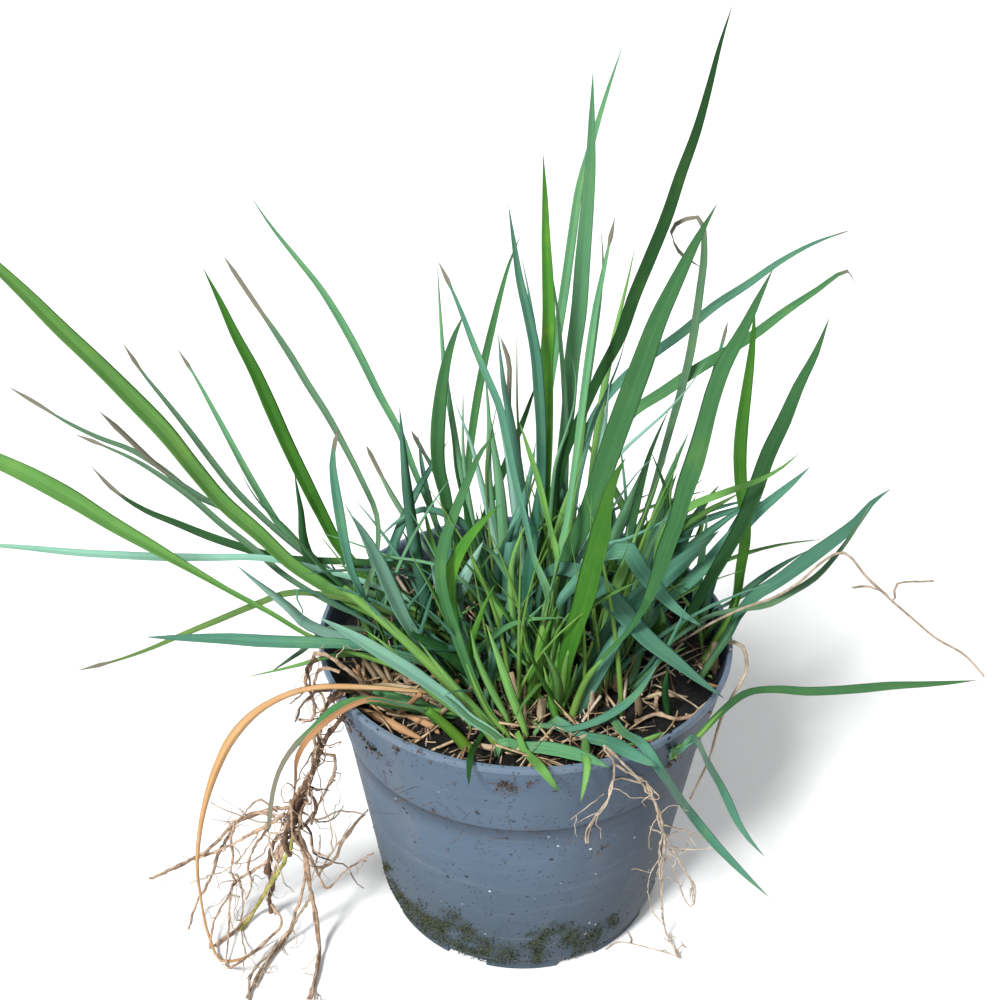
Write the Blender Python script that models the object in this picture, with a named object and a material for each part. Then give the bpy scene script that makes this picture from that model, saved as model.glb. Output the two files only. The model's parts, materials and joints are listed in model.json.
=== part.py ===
"""A clump of ornamental grass in a 3-litre nursery pot, at real size, in metres, +Z up.

The origin is the middle of the pot's base. The pot is turned about Z, the soil fills it, and every
blade, culm, dry leaf and root is a closed solid of its own that is swept along its own curve.
The curves were traced by eye along the photograph: a trace is a row of picture points from the tip
to the root, and each point is set on its line of sight at a chosen distance back from the pot's axis.
"""

import math

import bmesh
import bpy
import numpy as np
from mathutils import Vector
from mathutils.bvhtree import BVHTree

# The pot.
RIM_RADIUS = 0.095
POT_HEIGHT = 0.153
WALL = 0.0014
LIP_HEIGHT = 0.0035
LIP_OVERHANG = 0.0008
LIP_ROUND = 0.0005
BAND_BOTTOM_RADIUS = 0.0858
BAND_BOTTOM_HEIGHT = 0.1095
BAND_STEP = 0.0011
BODY_FOOT_RADIUS = 0.0722
BODY_FOOT_HEIGHT = 0.0150
FOOT_CURVE_HEIGHT = 0.0100
FOOT_RADIUS = 0.0690
FOOT_WIDTH = 0.0035
FOOT_HEIGHT = 0.0045
CENTRE_PAD_RADIUS = 0.022
CENTRE_PAD_DRAFT = 0.002
NOTCH_COUNT = 8
NOTCH_LENGTH = 0.020
POT_SIDES = 44

# The soil.
SOIL_TOP = 0.139
SOIL_ROUGHNESS = 0.0018
SOIL_CROWN = 0.0015
SOIL_SIDES = 36
SOIL_RING_SHARES = (0.82, 0.62, 0.42, 0.22)

# The blades. The fold is the keel's depth over the width, and a blade's face is turned this much of
# the way to the eye, and for the rest upwards. A blade leans out faster towards its tip, by this power.
BLADE_RINGS = 11
BLADE_THICKNESS = 0.0006
BLADE_FOLD = 0.16
FACING_EYE = 0.62
ROOT_RISE = 0.006
LEAN_POWER = 1.25
ROOT_WIDTH_SHARE = 0.5
FULL_WIDTH_FROM = 0.5
TAPER_FROM = 0.58
TIP_WIDTH_SHARE = 0.07
TAPER_POWER = 1.7

# The culms, roots and stalks.
STRAND_SIDES = 5
MOST_STRAND_RINGS = 14

# The room between pieces, the height of a root and of a piece on the floor, and the distance at which
# points of one piece are the same point.
CLEARANCE = 0.00025
GAP = 0.0003
ROOT_LIFT = 0.0013
FLOOR_CLEAR = 0.0019
WELD = 0.000002

# A curve's rings are a little closer together by its end, and a shaded edge sharper than this is kept.
RING_SPACING_POWER = 0.9
SHARP_EDGE = math.radians(38.0)

# The viewpoint that the traces belong to: its place, how far it looks down, its tilt, the focal
# length in picture points and the middle of the picture.
EYE = Vector((-0.0123, -0.4815, 0.5184))
LOOK_DOWN = math.radians(31.67)
EYE_ROLL = math.radians(0.5)
FOCAL = 1300.0
MIDDLE = 500.0

# Colour, roughness of each finish.
FINISHES = {
    "pot_plastic": ((0.16, 0.20, 0.26), 0.55),
    "black_soil": ((0.018, 0.014, 0.011), 0.95),
    "green": ((0.21, 0.34, 0.07), 0.5),
    "blue_green": ((0.12, 0.32, 0.21), 0.45),
    "dark_green": ((0.07, 0.13, 0.05), 0.5),
    "straw": ((0.55, 0.36, 0.16), 0.7),
    "root_brown": ((0.24, 0.16, 0.10), 0.8),
}

# The shoots after the first one stand in front of this many of the blades.
FRONT_FROM = 29

# Green blades, from the back of the clump to the front: name, width in mm, distance of the tip back
# from the pot's axis in mm, finish, and the trace from tip to root.
BLADES = (
    ("leaf_top_1", 4.4, 120, "green", ((624, 42), (610, 83), (599, 121), (586, 161), (577, 201),
     (568, 268), (561, 313), (548, 400), (541, 480), (538, 560), (550, 604))),
    ("leaf_top_2", 7.4, 95, "green", ((593, 69), (592, 112), (590, 179), (584, 246), (579, 313),
     (570, 377), (568, 415), (560, 480), (553, 560), (565, 600))),
    ("leaf_top_3", 6, 60, "blue_green", ((543, 151), (545, 201), (546, 246), (549, 313), (547, 351),
     (547, 402), (547, 453), (545, 499), (541, 560), (541, 614))),
    ("leaf_top_4", 5.4, 35, "blue_green", ((508, 202), (514, 246), (521, 290), (532, 335),
     (537, 377), (541, 450), (538, 540), (519, 608))),
    ("leaf_top_5", 3.9, 85, "green", ((522, 232), (508, 268), (496, 313), (484, 364), (476, 407),
     (471, 443), (466, 500), (474, 560), (494, 602))),
    ("leaf_top_6", 6.8, 60, "dark_green", ((465, 312), (451, 346), (443, 382), (438, 428), (438, 466),
     (445, 496), (455, 550), (474, 612))),
    ("leaf_right_1", 5.8, 75, "dark_green", ((733, 3), (722, 38), (712, 76), (700, 122), (684, 166),
     (669, 212), (654, 250), (636, 293), (623, 332), (606, 364), (588, 402), (575, 433), (563, 463),
     (553, 520), (550, 580), (556, 622))),
    ("leaf_right_3", 4.6, 110, "blue_green", ((851, 230), (817, 242), (786, 258), (753, 281),
     (715, 306), (685, 331), (657, 351), (632, 372), (613, 390), (588, 430), (574, 490), (564, 560),
     (584, 604))),
    ("leaf_right_4", 5, 60, "green", ((856, 286), (858, 276), (856, 267), (846, 271), (821, 288),
     (792, 307), (762, 330), (733, 349), (705, 365), (668, 390), (640, 408), (617, 428), (602, 470),
     (592, 540), (598, 622))),
    ("leaf_left_3", 3.6, 120, "green", ((177, 348), (193, 373), (214, 411), (235, 450), (255, 487),
     (276, 519), (297, 544), (370, 595), (446, 606))),
    ("leaf_left_2", 3.6, 85, "dark_green", ((122, 342), (136, 364), (157, 391), (180, 419),
     (202, 449), (225, 478), (248, 506), (274, 527), (297, 548), (360, 590), (432, 620))),
    ("leaf_left_6", 3.9, 110, "green", ((249, 194), (275, 232), (300, 263), (329, 301), (348, 335),
     (366, 368), (386, 409), (405, 443), (415, 473), (427, 499), (445, 550), (466, 598))),
    ("leaf_left_7", 3, 105, "dark_green", ((7, 386), (28, 398), (57, 417), (85, 431), (112, 444),
     (136, 452), (153, 461), (170, 476), (191, 493), (223, 508), (244, 523), (320, 575),
     (414, 612))),
    ("leaf_left_4", 7, 60, "dark_green", ((202, 266), (219, 300), (233, 331), (252, 367),
     (269, 405), (284, 439), (298, 469), (316, 502), (331, 536), (375, 585), (430, 634))),
    ("leaf_left_10", 4.4, 70, "dark_green", ((90, 465), (115, 491), (136, 506), (161, 517),
     (190, 529), (223, 542), (257, 552), (290, 560), (351, 562), (389, 565), (430, 566),
     (470, 585), (500, 628))),
    ("leaf_left_8", 3.3, 55, "green", ((74, 434), (106, 447), (136, 461), (160, 476), (185, 493),
     (212, 516), (240, 540), (268, 558), (288, 578), (350, 612), (424, 648))),
    ("leaf_left_12", 4, 30, "blue_green", ((-60, 540), (0, 546), (40, 549), (89, 554), (134, 556),
     (178, 558), (223, 558), (268, 559), (340, 575), (410, 600), (458, 652))),
    ("leaf_left_1", 8.6, -15, "green", ((-95, 185), (-50, 226), (-2, 269), (32, 302), (62, 332),
     (94, 362), (125, 393), (157, 425), (189, 464), (210, 491), (232, 512), (255, 531), (272, 551),
     (330, 590), (390, 625), (452, 672))),
    ("leaf_left_11", 8.6, -30, "green", ((-145, 395), (-70, 430), (0, 463), (32, 478), (67, 497),
     (112, 525), (138, 540), (178, 562), (212, 583), (234, 594), (268, 612), (292, 629),
     (350, 652), (400, 670), (440, 700))),
    ("leaf_left_13", 3, -40, "green", ((76, 671), (112, 662), (143, 652), (170, 639), (192, 632),
     (219, 620), (245, 609), (272, 599), (292, 593), (350, 600), (420, 625), (471, 665))),
    ("leaf_left_14", 5.8, -50, "blue_green", ((143, 637), (179, 638), (223, 639), (268, 642),
     (301, 643), (330, 644), (350, 645), (400, 655), (447, 690))),
    ("leaf_right_17", 2.2, 65, "dark_green", ((702, 268), (684, 256), (669, 238), (674, 226),
     (686, 217), (698, 216), (704, 232), (704, 254), (702, 275), (697, 314), (692, 342), (687, 370),
     (670, 430), (650, 500), (625, 570), (616, 626))),
    ("leaf_right_2", 9.6, 10, "blue_green", ((718, 202), (702, 230), (684, 268), (664, 306),
     (651, 342), (633, 390), (616, 436), (594, 500), (576, 543), (562, 571), (551, 604), (544, 629),
     (541, 690))),
    ("leaf_right_7", 6, 35, "dark_green", ((755, 305), (753, 337), (749, 373), (744, 409),
     (740, 444), (740, 480), (744, 512), (746, 534), (742, 551), (740, 573), (736, 601), (724, 628),
     (705, 660))),
    ("leaf_right_8", 6.8, 45, "green", ((811, 466), (788, 487), (757, 513), (728, 542), (699, 573),
     (671, 599), (640, 632), (606, 677))),
    ("leaf_right_6", 7.2, -10, "blue_green", ((830, 316), (817, 351), (797, 391), (781, 430),
     (767, 459), (755, 494), (742, 526), (728, 551), (714, 573), (701, 598), (680, 628), (645, 682))),
    ("leaf_right_9", 6.4, -20, "blue_green", ((892, 488), (874, 501), (853, 526), (824, 548),
     (796, 569), (771, 587), (749, 601), (735, 623), (722, 648), (702, 680))),
    ("leaf_right_10", 3, -10, "green", ((874, 499), (864, 516), (844, 546), (819, 575),
     (791, 593), (762, 607), (724, 612), (692, 623), (664, 634), (640, 665))),
    ("leaf_mid_3", 5.4, -10, "blue_green", ((538, 480), (535, 517), (532, 550), (528, 581),
     (527, 619), (527, 657), (531, 690))),
    ("leaf_mid_2", 6, -30, "green", ((501, 504), (480, 525), (466, 543), (453, 568), (450, 600),
     (460, 650), (478, 702))),
    ("leaf_mid_5", 7.4, -30, "blue_green", ((720, 530), (690, 556), (650, 590), (622, 616),
     (607, 637), (587, 668), (572, 700))),
    ("leaf_right_13", 6.6, -50, "blue_green", ((705, 628), (687, 618), (666, 599), (646, 579),
     (630, 558), (610, 545), (590, 540), (572, 556), (563, 600), (566, 672))),
    ("leaf_right_12", 6.8, -70, "blue_green", ((725, 699), (692, 675), (662, 651), (637, 631),
     (622, 611), (602, 591), (580, 573), (556, 567), (541, 590), (537, 625), (541, 668))),
    ("leaf_left_23", 7.2, -50, "blue_green", ((348, 511), (359, 528), (372, 551), (385, 579),
     (397, 605), (410, 629), (445, 690))),
    ("leaf_mid_1", 5.2, -10, "green", ((498, 430), (480, 454), (462, 496), (448, 532), (441, 561),
     (441, 586), (448, 611), (459, 643), (469, 671), (480, 696), (494, 720), (508, 742))),
    ("leaf_right_11", 4.4, -60, "green", ((980, 680), (937, 684), (894, 686), (851, 690), (808, 692),
     (765, 690), (734, 697), (703, 703), (668, 700))),
    ("leaf_right_5", 9.4, -60, "green", ((774, 267), (764, 288), (753, 312), (741, 337), (727, 362),
     (716, 392), (708, 420), (703, 445), (690, 480), (680, 516), (667, 551), (654, 587), (636, 623),
     (613, 648), (592, 672), (573, 718))),
    ("leaf_mid_4", 9.8, -75, "green", ((626, 457), (612, 489), (605, 525), (596, 561), (587, 596),
     (576, 629), (567, 661), (564, 686), (560, 712))),
    ("leaf_front_6", 2.8, -103, "green", ((469, 786), (469, 768), (473, 750), (482, 734),
     (492, 720))),
    ("leaf_front_10", 4.8, -80, "straw", ((268, 835), (274, 789), (288, 755), (311, 732), (334, 709),
     (350, 701), (369, 701), (392, 706), (415, 709), (440, 712), (464, 722))),
    ("leaf_front_2", 3.8, -60, "dark_green", ((658, 664), (637, 694), (615, 712), (593, 723),
     (564, 730), (535, 737))),
    ("leaf_front_1", 6.4, -75, "blue_green", ((318, 617), (351, 635), (385, 656), (418, 677),
     (451, 701), (480, 725), (508, 744))),
    ("leaf_right_15", 4.4, -75, "dark_green", ((765, 857), (742, 830), (722, 790), (702, 755),
     (690, 728), (664, 705))),
    ("leaf_right_14", 5.4, -85, "blue_green", ((770, 898), (745, 875), (711, 840), (679, 800),
     (645, 748), (619, 714), (604, 694))),
    ("leaf_front_7", 6.2, -95, "green", ((660, 768), (637, 757), (609, 743), (576, 734),
     (550, 728))),
    ("leaf_front_3", 4.2, -98, "green", ((610, 768), (594, 761), (573, 754), (544, 748), (518, 745),
     (498, 738))),
    ("leaf_front_4", 3, -106, "green", ((560, 793), (550, 780), (539, 766), (524, 748),
     (516, 734))),
)

# Shoots: name, radius in mm at the root and at the top, distance of the top back from the axis in mm,
# finish, the culm's trace from top to root, and the small blades that grow from it. A blade is its
# share of the way up the culm, width in mm, distance of its tip back in mm, and trace from its tip.
SHOOTS = (
    ("shoot_back", 2.2, 1.6, 45, "dark_green", ((467, 572), (471, 592), (480, 612)), (
        (0.8, 2.9, 100, ((366, 445), (379, 471), (394, 499), (412, 527), (433, 560), (455, 585))),
        (0.9, 2.9, 85, ((411, 430), (422, 450), (433, 468), (443, 489), (452, 520), (461, 560))),
        (0.7, 4.0, 60, ((538, 379), (524, 420), (512, 450), (496, 491), (480, 530), (472, 570))),
    )),
    ("shoot_middle", 2.6, 1.8, -5, "green", ((557, 580), (549, 610), (543, 640), (536, 675),
     (533, 700)), (
        (0.5, 3.3, 60, ((438, 261), (456, 299), (474, 346), (489, 382), (502, 415), (513, 470),
         (530, 540), (541, 600))),
        (0.9, 3.0, -20, ((519, 421), (530, 455), (539, 484), (548, 521), (556, 555))),
        (0.8, 3.4, 70, ((615, 217), (604, 268), (595, 313), (587, 370), (578, 440), (567, 520),
         (558, 570))),
    )),
    ("shoot_right", 2.4, 1.6, -10, "blue_green", ((652, 596), (644, 635), (630, 690)), (
        (0.8, 3.4, -30, ((801, 451), (781, 469), (760, 480), (731, 491), (703, 501), (678, 514),
         (660, 540), (652, 580))),
        (0.62, 3.2, 60, ((728, 321), (722, 344), (712, 380), (700, 430), (686, 490), (667, 548),
         (655, 590))),
    )),
    ("shoot_left", 2.4, 1.7, -30, "green", ((345, 592), (366, 607), (401, 636), (430, 664),
     (462, 702), (484, 722), (502, 740)), (
        (0.9, 3.2, 70, ((223, 255), (240, 281), (263, 315), (285, 347), (304, 379), (323, 408),
         (338, 435), (348, 453), (361, 479), (376, 512), (378, 550), (366, 595))),
        (0.76, 4.2, -25, ((339, 428), (333, 453), (334, 479), (340, 517), (346, 550),
         (357, 585))),
    )),
    ("shoot_front", 2.6, 2.0, -62, "green", ((428, 706), (436, 720), (450, 734), (468, 746)), ()),
)

# Round dry pieces: name, radius in mm at the start and at the end, distance back from the axis in mm
# at the start and at the end, finish, the trace from start to end, and the pieces that branch off. A
# branch starts at its share of the way along, and has two radii, the distance back of its end and
# the trace that it follows.
STRANDS = (
    ("root_clump", 4.0, 4.5, -40, -50, "root_brown", ((376, 690), (356, 678), (338, 683),
     (327, 704), (320, 728), (314, 752), (309, 778), (299, 806), (292, 832)), (
        (0.98, 1.6, 0.7, -63, ((301, 850), (311, 888), (318, 927), (319, 961), (308, 1000))),
        (0.97, 1.8, 0.8, -30, ((284, 850), (269, 883), (253, 911), (237, 929), (214, 946))),
        (0.95, 1.5, 0.6, -60, ((302, 838), (306, 868), (300, 900), (288, 932), (270, 956),
         (256, 980), (247, 998))),
        (0.96, 1.4, 0.6, -40, ((265, 812), (237, 821), (205, 852), (150, 879))),
        (0.9, 1.3, 0.6, -30, ((320, 874), (340, 846), (363, 814))),
    )),
    ("dry_leaf_1", 1.5, 0.5, -52, -52, "straw", ((432, 690), (400, 686), (343, 683), (299, 690),
     (272, 702), (242, 725), (221, 759), (207, 796), (199, 835), (197, 870), (203, 911), (212, 945),
     (228, 966), (249, 956), (269, 938), (283, 924)), ()),
    ("roots_right", 1.7, 0.6, -92, -45, "root_brown", ((604, 742), (614, 755), (628, 766),
     (643, 782), (656, 805), (664, 835), (663, 865), (662, 893), (665, 929), (678, 958)), (
        (0.2, 1.2, 0.6, -92, ((615, 776), (608, 799), (593, 820), (587, 843))),
        (0.55, 1.2, 0.6, -55, ((670, 849), (684, 868), (693, 887), (694, 905))),
    )),
    ("dry_straw", 1.3, 0.6, None, -50, "straw", ((706, 664), (725, 640), (744, 648), (746, 672),
     (730, 700), (718, 726), (711, 755), (690, 799)), ()),
    ("dry_stalk", 1.4, 0.6, None, -50, "straw", ((655, 655), (690, 622), (724, 611), (760, 604),
     (789, 590), (815, 570), (838, 548), (873, 584), (905, 612), (937, 639), (955, 646), (984, 676)), (
        (0.72, 1.2, 0.6, -20, ((896, 585), (932, 581))),
        (0.68, 1.2, 0.6, -20, ((868, 586), (852, 588))),
    )),
)

# A broad dry leaf, traced like the green ones.
DRY_BLADES = (
    ("dry_leaf_2", 4.4, -62, "straw", ((290, 812), (296, 787), (298, 759), (311, 736), (334, 716),
     (366, 700), (400, 700), (436, 716))),
)


# ---------------------------------------------------------------- the viewpoint


def view_axes():
    """The picture's right, up and forward directions in space."""
    forward = Vector((0.0, math.cos(LOOK_DOWN), -math.sin(LOOK_DOWN)))
    level = Vector((1.0, 0.0, 0.0))
    upright = level.cross(forward)
    cos_roll, sin_roll = math.cos(EYE_ROLL), math.sin(EYE_ROLL)
    return level * cos_roll + upright * sin_roll, upright * cos_roll - level * sin_roll, forward


PICTURE_RIGHT, PICTURE_UP, PICTURE_FORWARD = view_axes()


def sight(spot):
    """The direction from the eye through a picture point."""
    across = (spot[0] - MIDDLE) * PICTURE_RIGHT
    return PICTURE_FORWARD * FOCAL + across - (spot[1] - MIDDLE) * PICTURE_UP


def on_height(spot, height):
    """The point of a line of sight at this height."""
    way = sight(spot)
    return EYE + way * ((height - EYE.z) / way.z)


def at_back(spot, back):
    """The point of a line of sight this far back from the axis, or on the floor if it is below it."""
    way = sight(spot)
    point = EYE + way * ((back - EYE.y) / way.y)
    return on_height(spot, FLOOR_CLEAR) if point.z < FLOOR_CLEAR else point


# ---------------------------------------------------------------- materials and meshes


def finish(name):
    """The Principled material of this name, made on first use."""
    material = bpy.data.materials.get(name)
    if material is None:
        material = bpy.data.materials.new(name)
        material.use_nodes = True
        colour, roughness = FINISHES[name]
        shader = material.node_tree.nodes["Principled BSDF"]
        shader.inputs["Base Color"].default_value = (*colour, 1.0)
        shader.inputs["Roughness"].default_value = roughness
    return material


def add_object(name, points, faces, finish_name):
    """Adds one closed mesh with its faces turned outwards."""
    mesh = bpy.data.meshes.new(name)
    mesh.from_pydata([tuple(point) for point in points], [], faces)
    work = bmesh.new()
    work.from_mesh(mesh)
    bmesh.ops.recalc_face_normals(work, faces=work.faces)
    work.to_mesh(mesh)
    work.free()
    mesh.shade_smooth()
    mesh.set_sharp_from_angle(angle=SHARP_EDGE)
    mesh.materials.append(finish(finish_name))
    item = bpy.data.objects.new(name, mesh)
    bpy.context.scene.collection.objects.link(item)
    return item


def turned(name, profile, sides, finish_name, lift=None):
    """Turns a profile of (radius, height) about Z. A radius of 0 at either end closes on the axis."""
    points, rings = [], []
    for radius, height in profile:
        if radius == 0.0:
            rings.append([len(points)])
            points.append((0.0, 0.0, height + (lift(0.0, 0.0, height) if lift else 0.0)))
            continue
        rings.append(list(range(len(points), len(points) + sides)))
        for side in range(sides):
            turn = math.tau * side / sides
            x, y = radius * math.cos(turn), radius * math.sin(turn)
            points.append((x, y, height + (lift(x, y, height) if lift else 0.0)))
    faces = []
    for low, high in zip(rings, rings[1:]):
        for side in range(sides):
            after = (side + 1) % sides
            corners = [low[side % len(low)], low[after % len(low)]]
            corners += [high[after % len(high)], high[side % len(high)]]
            faces.append(list(dict.fromkeys(corners)))
    return add_object(name, points, faces, finish_name)


# ---------------------------------------------------------------- pot and soil


def band_radius(height):
    """The outer radius of the band below the rim."""
    share = (height - BAND_BOTTOM_HEIGHT) / (POT_HEIGHT - BAND_BOTTOM_HEIGHT)
    return BAND_BOTTOM_RADIUS + share * (RIM_RADIUS - LIP_OVERHANG - BAND_BOTTOM_RADIUS)


def inner_profile(gap, top):
    """The inside of the wall from the floor up to a height, with a gap to the wall."""
    floor = FOOT_HEIGHT + WALL
    inset = WALL + gap
    return [
        (FOOT_RADIUS - inset - CENTRE_PAD_DRAFT, floor + gap),
        (BODY_FOOT_RADIUS - inset, BODY_FOOT_HEIGHT),
        (BAND_BOTTOM_RADIUS - BAND_STEP - inset, BAND_BOTTOM_HEIGHT - BAND_STEP),
        (BAND_BOTTOM_RADIUS - inset, BAND_BOTTOM_HEIGHT + BAND_STEP),
        (band_radius(top) - inset, top),
    ]


def build_pot():
    """The thin-walled pot: centre pad, foot ring, tapered body, wider band and thickened lip."""
    lip_foot = POT_HEIGHT - LIP_HEIGHT
    profile = [
        (0.0, 0.0),
        (CENTRE_PAD_RADIUS, 0.0),
        (CENTRE_PAD_RADIUS + CENTRE_PAD_DRAFT, FOOT_HEIGHT),
        (FOOT_RADIUS - FOOT_WIDTH, FOOT_HEIGHT),
        (FOOT_RADIUS - FOOT_WIDTH, 0.0),
        (FOOT_RADIUS, 0.0),
        (FOOT_RADIUS + LIP_ROUND, FOOT_HEIGHT + LIP_ROUND),
        (BODY_FOOT_RADIUS - LIP_ROUND, FOOT_CURVE_HEIGHT),
        (BODY_FOOT_RADIUS, BODY_FOOT_HEIGHT),
        (BAND_BOTTOM_RADIUS - BAND_STEP, BAND_BOTTOM_HEIGHT - BAND_STEP),
        (BAND_BOTTOM_RADIUS, BAND_BOTTOM_HEIGHT),
        (band_radius(lip_foot), lip_foot),
        (RIM_RADIUS, lip_foot + LIP_OVERHANG),
        (RIM_RADIUS, POT_HEIGHT - LIP_ROUND),
        (RIM_RADIUS - LIP_ROUND, POT_HEIGHT),
        (RIM_RADIUS - LIP_ROUND - WALL, POT_HEIGHT),
    ]
    profile += reversed(inner_profile(0.0, POT_HEIGHT - LIP_ROUND))
    profile.append((0.0, FOOT_HEIGHT + WALL))
    pot = turned("pot", profile, POT_SIDES, "pot_plastic")
    for index in range(NOTCH_COUNT):
        cut_notch(pot, math.tau * (index + 0.5) / NOTCH_COUNT)
    return pot


def cut_notch(pot, turn):
    """Cuts one drain notch through the foot ring."""
    bpy.ops.mesh.primitive_cube_add(size=1.0)
    cutter = bpy.context.object
    cutter.name = "notch_cutter"
    cutter.scale = (4 * FOOT_WIDTH, NOTCH_LENGTH, 2 * (FOOT_HEIGHT - LIP_OVERHANG))
    cutter.rotation_euler = (0.0, 0.0, turn)
    middle = FOOT_RADIUS - FOOT_WIDTH / 2
    cutter.location = (middle * math.cos(turn), middle * math.sin(turn), 0.0)
    cutter.hide_render = True
    cutter.display_type = "WIRE"
    notch = pot.modifiers.new("notch", "BOOLEAN")
    notch.operation = "DIFFERENCE"
    notch.solver = "EXACT"
    notch.object = cutter


def soil_bumps(x, y):
    """How far the soil's surface is above or below its mean height."""
    waves = math.sin(95 * x + 1.3) * math.cos(80 * y - 0.4) + 0.6 * math.sin(210 * x - 160 * y)
    crown = SOIL_CROWN * (1.0 - (x * x + y * y) / RIM_RADIUS**2)
    return SOIL_ROUGHNESS * waves / 1.6 + crown


def soil_height(x, y):
    """The height of the soil's surface here."""
    return SOIL_TOP + soil_bumps(x, y)


def build_soil():
    """The soil: a solid that follows the inside of the pot, with an uneven top."""
    profile = [(0.0, FOOT_HEIGHT + WALL + GAP)]
    profile += inner_profile(GAP, SOIL_TOP)
    edge = profile[-1][0]
    profile += [(edge * share, SOIL_TOP) for share in SOIL_RING_SHARES]
    profile.append((0.0, SOIL_TOP))

    def lift(x, y, height):
        """The bumps, which the soil's edge by the wall doesn't have."""
        return soil_bumps(x, y) if height == SOIL_TOP and math.hypot(x, y) < 0.95 * edge else 0.0

    return turned("soil", profile, SOIL_SIDES, "black_soil", lift)


# ---------------------------------------------------------------- curves


def smooth_curve(knots, count):
    """Evenly spaced points along a Catmull-Rom curve through the knots."""
    knots = [np.array(knot) for knot in knots]
    ends = [2 * knots[0] - knots[1], *knots, 2 * knots[-1] - knots[-2]]
    fine = []
    for a, b, c, d in zip(ends, ends[1:], ends[2:], ends[3:]):
        for step in np.linspace(0.0, 1.0, 12, endpoint=False):
            fine.append(0.5 * (2 * b + (c - a) * step + (2 * a - 5 * b + 4 * c - d) * step**2
                               + (3 * b - a - 3 * c + d) * step**3))
    fine = np.array([*fine, knots[-1]])
    along = np.concatenate([[0.0], np.cumsum(np.linalg.norm(np.diff(fine, axis=0), axis=1))])
    wanted = along[-1] * np.linspace(0.0, 1.0, count) ** RING_SPACING_POWER
    return np.stack([np.interp(wanted, along, fine[:, axis]) for axis in range(3)], axis=1)


def trace_shares(trace):
    """How far along its trace each picture point is, from 0 to 1."""
    steps = [math.dist(a, b) for a, b in zip(trace, trace[1:])]
    return np.concatenate([[0.0], np.cumsum(steps)]) / sum(steps)


def blade_path(trace, tip_back, count):
    """The blade's middle line in space, from its root on the soil up to its tip."""
    trace = list(reversed(trace))
    root = on_height(trace[0], SOIL_TOP)
    root.z = soil_height(root.x, root.y) + ROOT_LIFT
    shares = trace_shares(trace)
    knots = [root, root + Vector((0.0, 0.0, ROOT_RISE))]
    for spot, share in zip(trace[1:], shares[1:]):
        lean = share**LEAN_POWER
        knots.append(at_back(spot, root.y + (tip_back / 1000 - root.y) * lean))
    return smooth_curve(knots, count)


def strand_path(trace, start_back, end_back, radius, count):
    """The middle line of a round piece in space. With no start_back it starts on the soil."""
    root = on_height(trace[0], SOIL_TOP)
    root.z = soil_height(root.x, root.y) + radius + 2 * GAP
    back = root.y if start_back is None else start_back / 1000
    knots = [root] if start_back is None else [at_back(trace[0], back)]
    for spot, share in zip(trace[1:], trace_shares(trace)[1:]):
        knots.append(at_back(spot, back + (end_back / 1000 - back) * share))
    return smooth_curve(knots, count)


def directions(path):
    """The direction of a path at each of its points."""
    way = np.gradient(path, axis=0)
    return way / np.linalg.norm(way, axis=1, keepdims=True)


def unit_across(vectors, way):
    """The part of each vector that is square to the path, one unit long."""
    across = vectors - way * np.sum(vectors * way, axis=1, keepdims=True)
    return across / np.maximum(np.linalg.norm(across, axis=1, keepdims=True), 1e-9)


def carried_across(way):
    """A direction square to the path that is carried along it with no spin."""
    carried = [np.cross(way[0], np.eye(3)[np.argmin(np.abs(way[0]))])]
    for ahead in way[1:]:
        carried.append(carried[-1] - ahead * np.dot(carried[-1], ahead))
    return unit_across(np.array(carried), way)


# ---------------------------------------------------------------- solids along a curve


def blade_width(share):
    """The share of a blade's full width at this share of its length from the root."""
    base = ROOT_WIDTH_SHARE + (1.0 - ROOT_WIDTH_SHARE) * min(share / FULL_WIDTH_FROM, 1.0)
    taper = max(share - TAPER_FROM, 0.0) / (1.0 - TAPER_FROM)
    return base * (1.0 - (1.0 - TIP_WIDTH_SHARE) * taper**TAPER_POWER)


def blade_mesh(path, width, extra=0.0):
    """Four points a ring: left edge, upper keel, right edge, lower keel, and one point at the tip."""
    way = directions(path)
    to_eye = unit_across(np.array(EYE) - path, way)
    upwards = unit_across(np.tile((0.0, 0.0, 1.0), (len(path), 1)), way)
    face = unit_across(FACING_EYE * to_eye + (1.0 - FACING_EYE) * upwards, way)
    side = np.cross(way, face)
    points = []
    for index, centre in enumerate(path[:-1]):
        share = index / (len(path) - 1)
        half = 0.5 * width * blade_width(share) + extra
        fold = 2 * half * BLADE_FOLD
        thick = 0.5 * BLADE_THICKNESS + extra
        points.append(centre - side[index] * half + face[index] * fold / 2)
        points.append(centre + face[index] * (thick - fold / 2))
        points.append(centre + side[index] * half + face[index] * fold / 2)
        points.append(centre - face[index] * (thick + fold / 2))
    points.append(path[-1] + way[-1] * extra)
    faces = blade_faces(len(path) - 1)
    tip, last = len(points) - 1, len(points) - 5
    faces += [(last + side, last + (side + 1) % 4, tip) for side in range(4)]
    faces += [(0, 3, 1), (1, 3, 2)]
    return points, faces


def blade_faces(rings):
    """The triangles between a blade's rings. Upper and lower ones are split alike, so they stay apart."""
    faces = []
    for ring in range(rings - 1):
        left, over, right, under = range(4 * ring, 4 * ring + 4)
        next_left, next_over, next_right, next_under = range(4 * ring + 4, 4 * ring + 8)
        faces += [(left, over, next_over), (left, next_over, next_left)]
        faces += [(over, right, next_right), (over, next_right, next_over)]
        faces += [(right, under, next_right), (under, next_under, next_right)]
        faces += [(under, left, next_under), (left, next_left, next_under)]
    return faces


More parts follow.
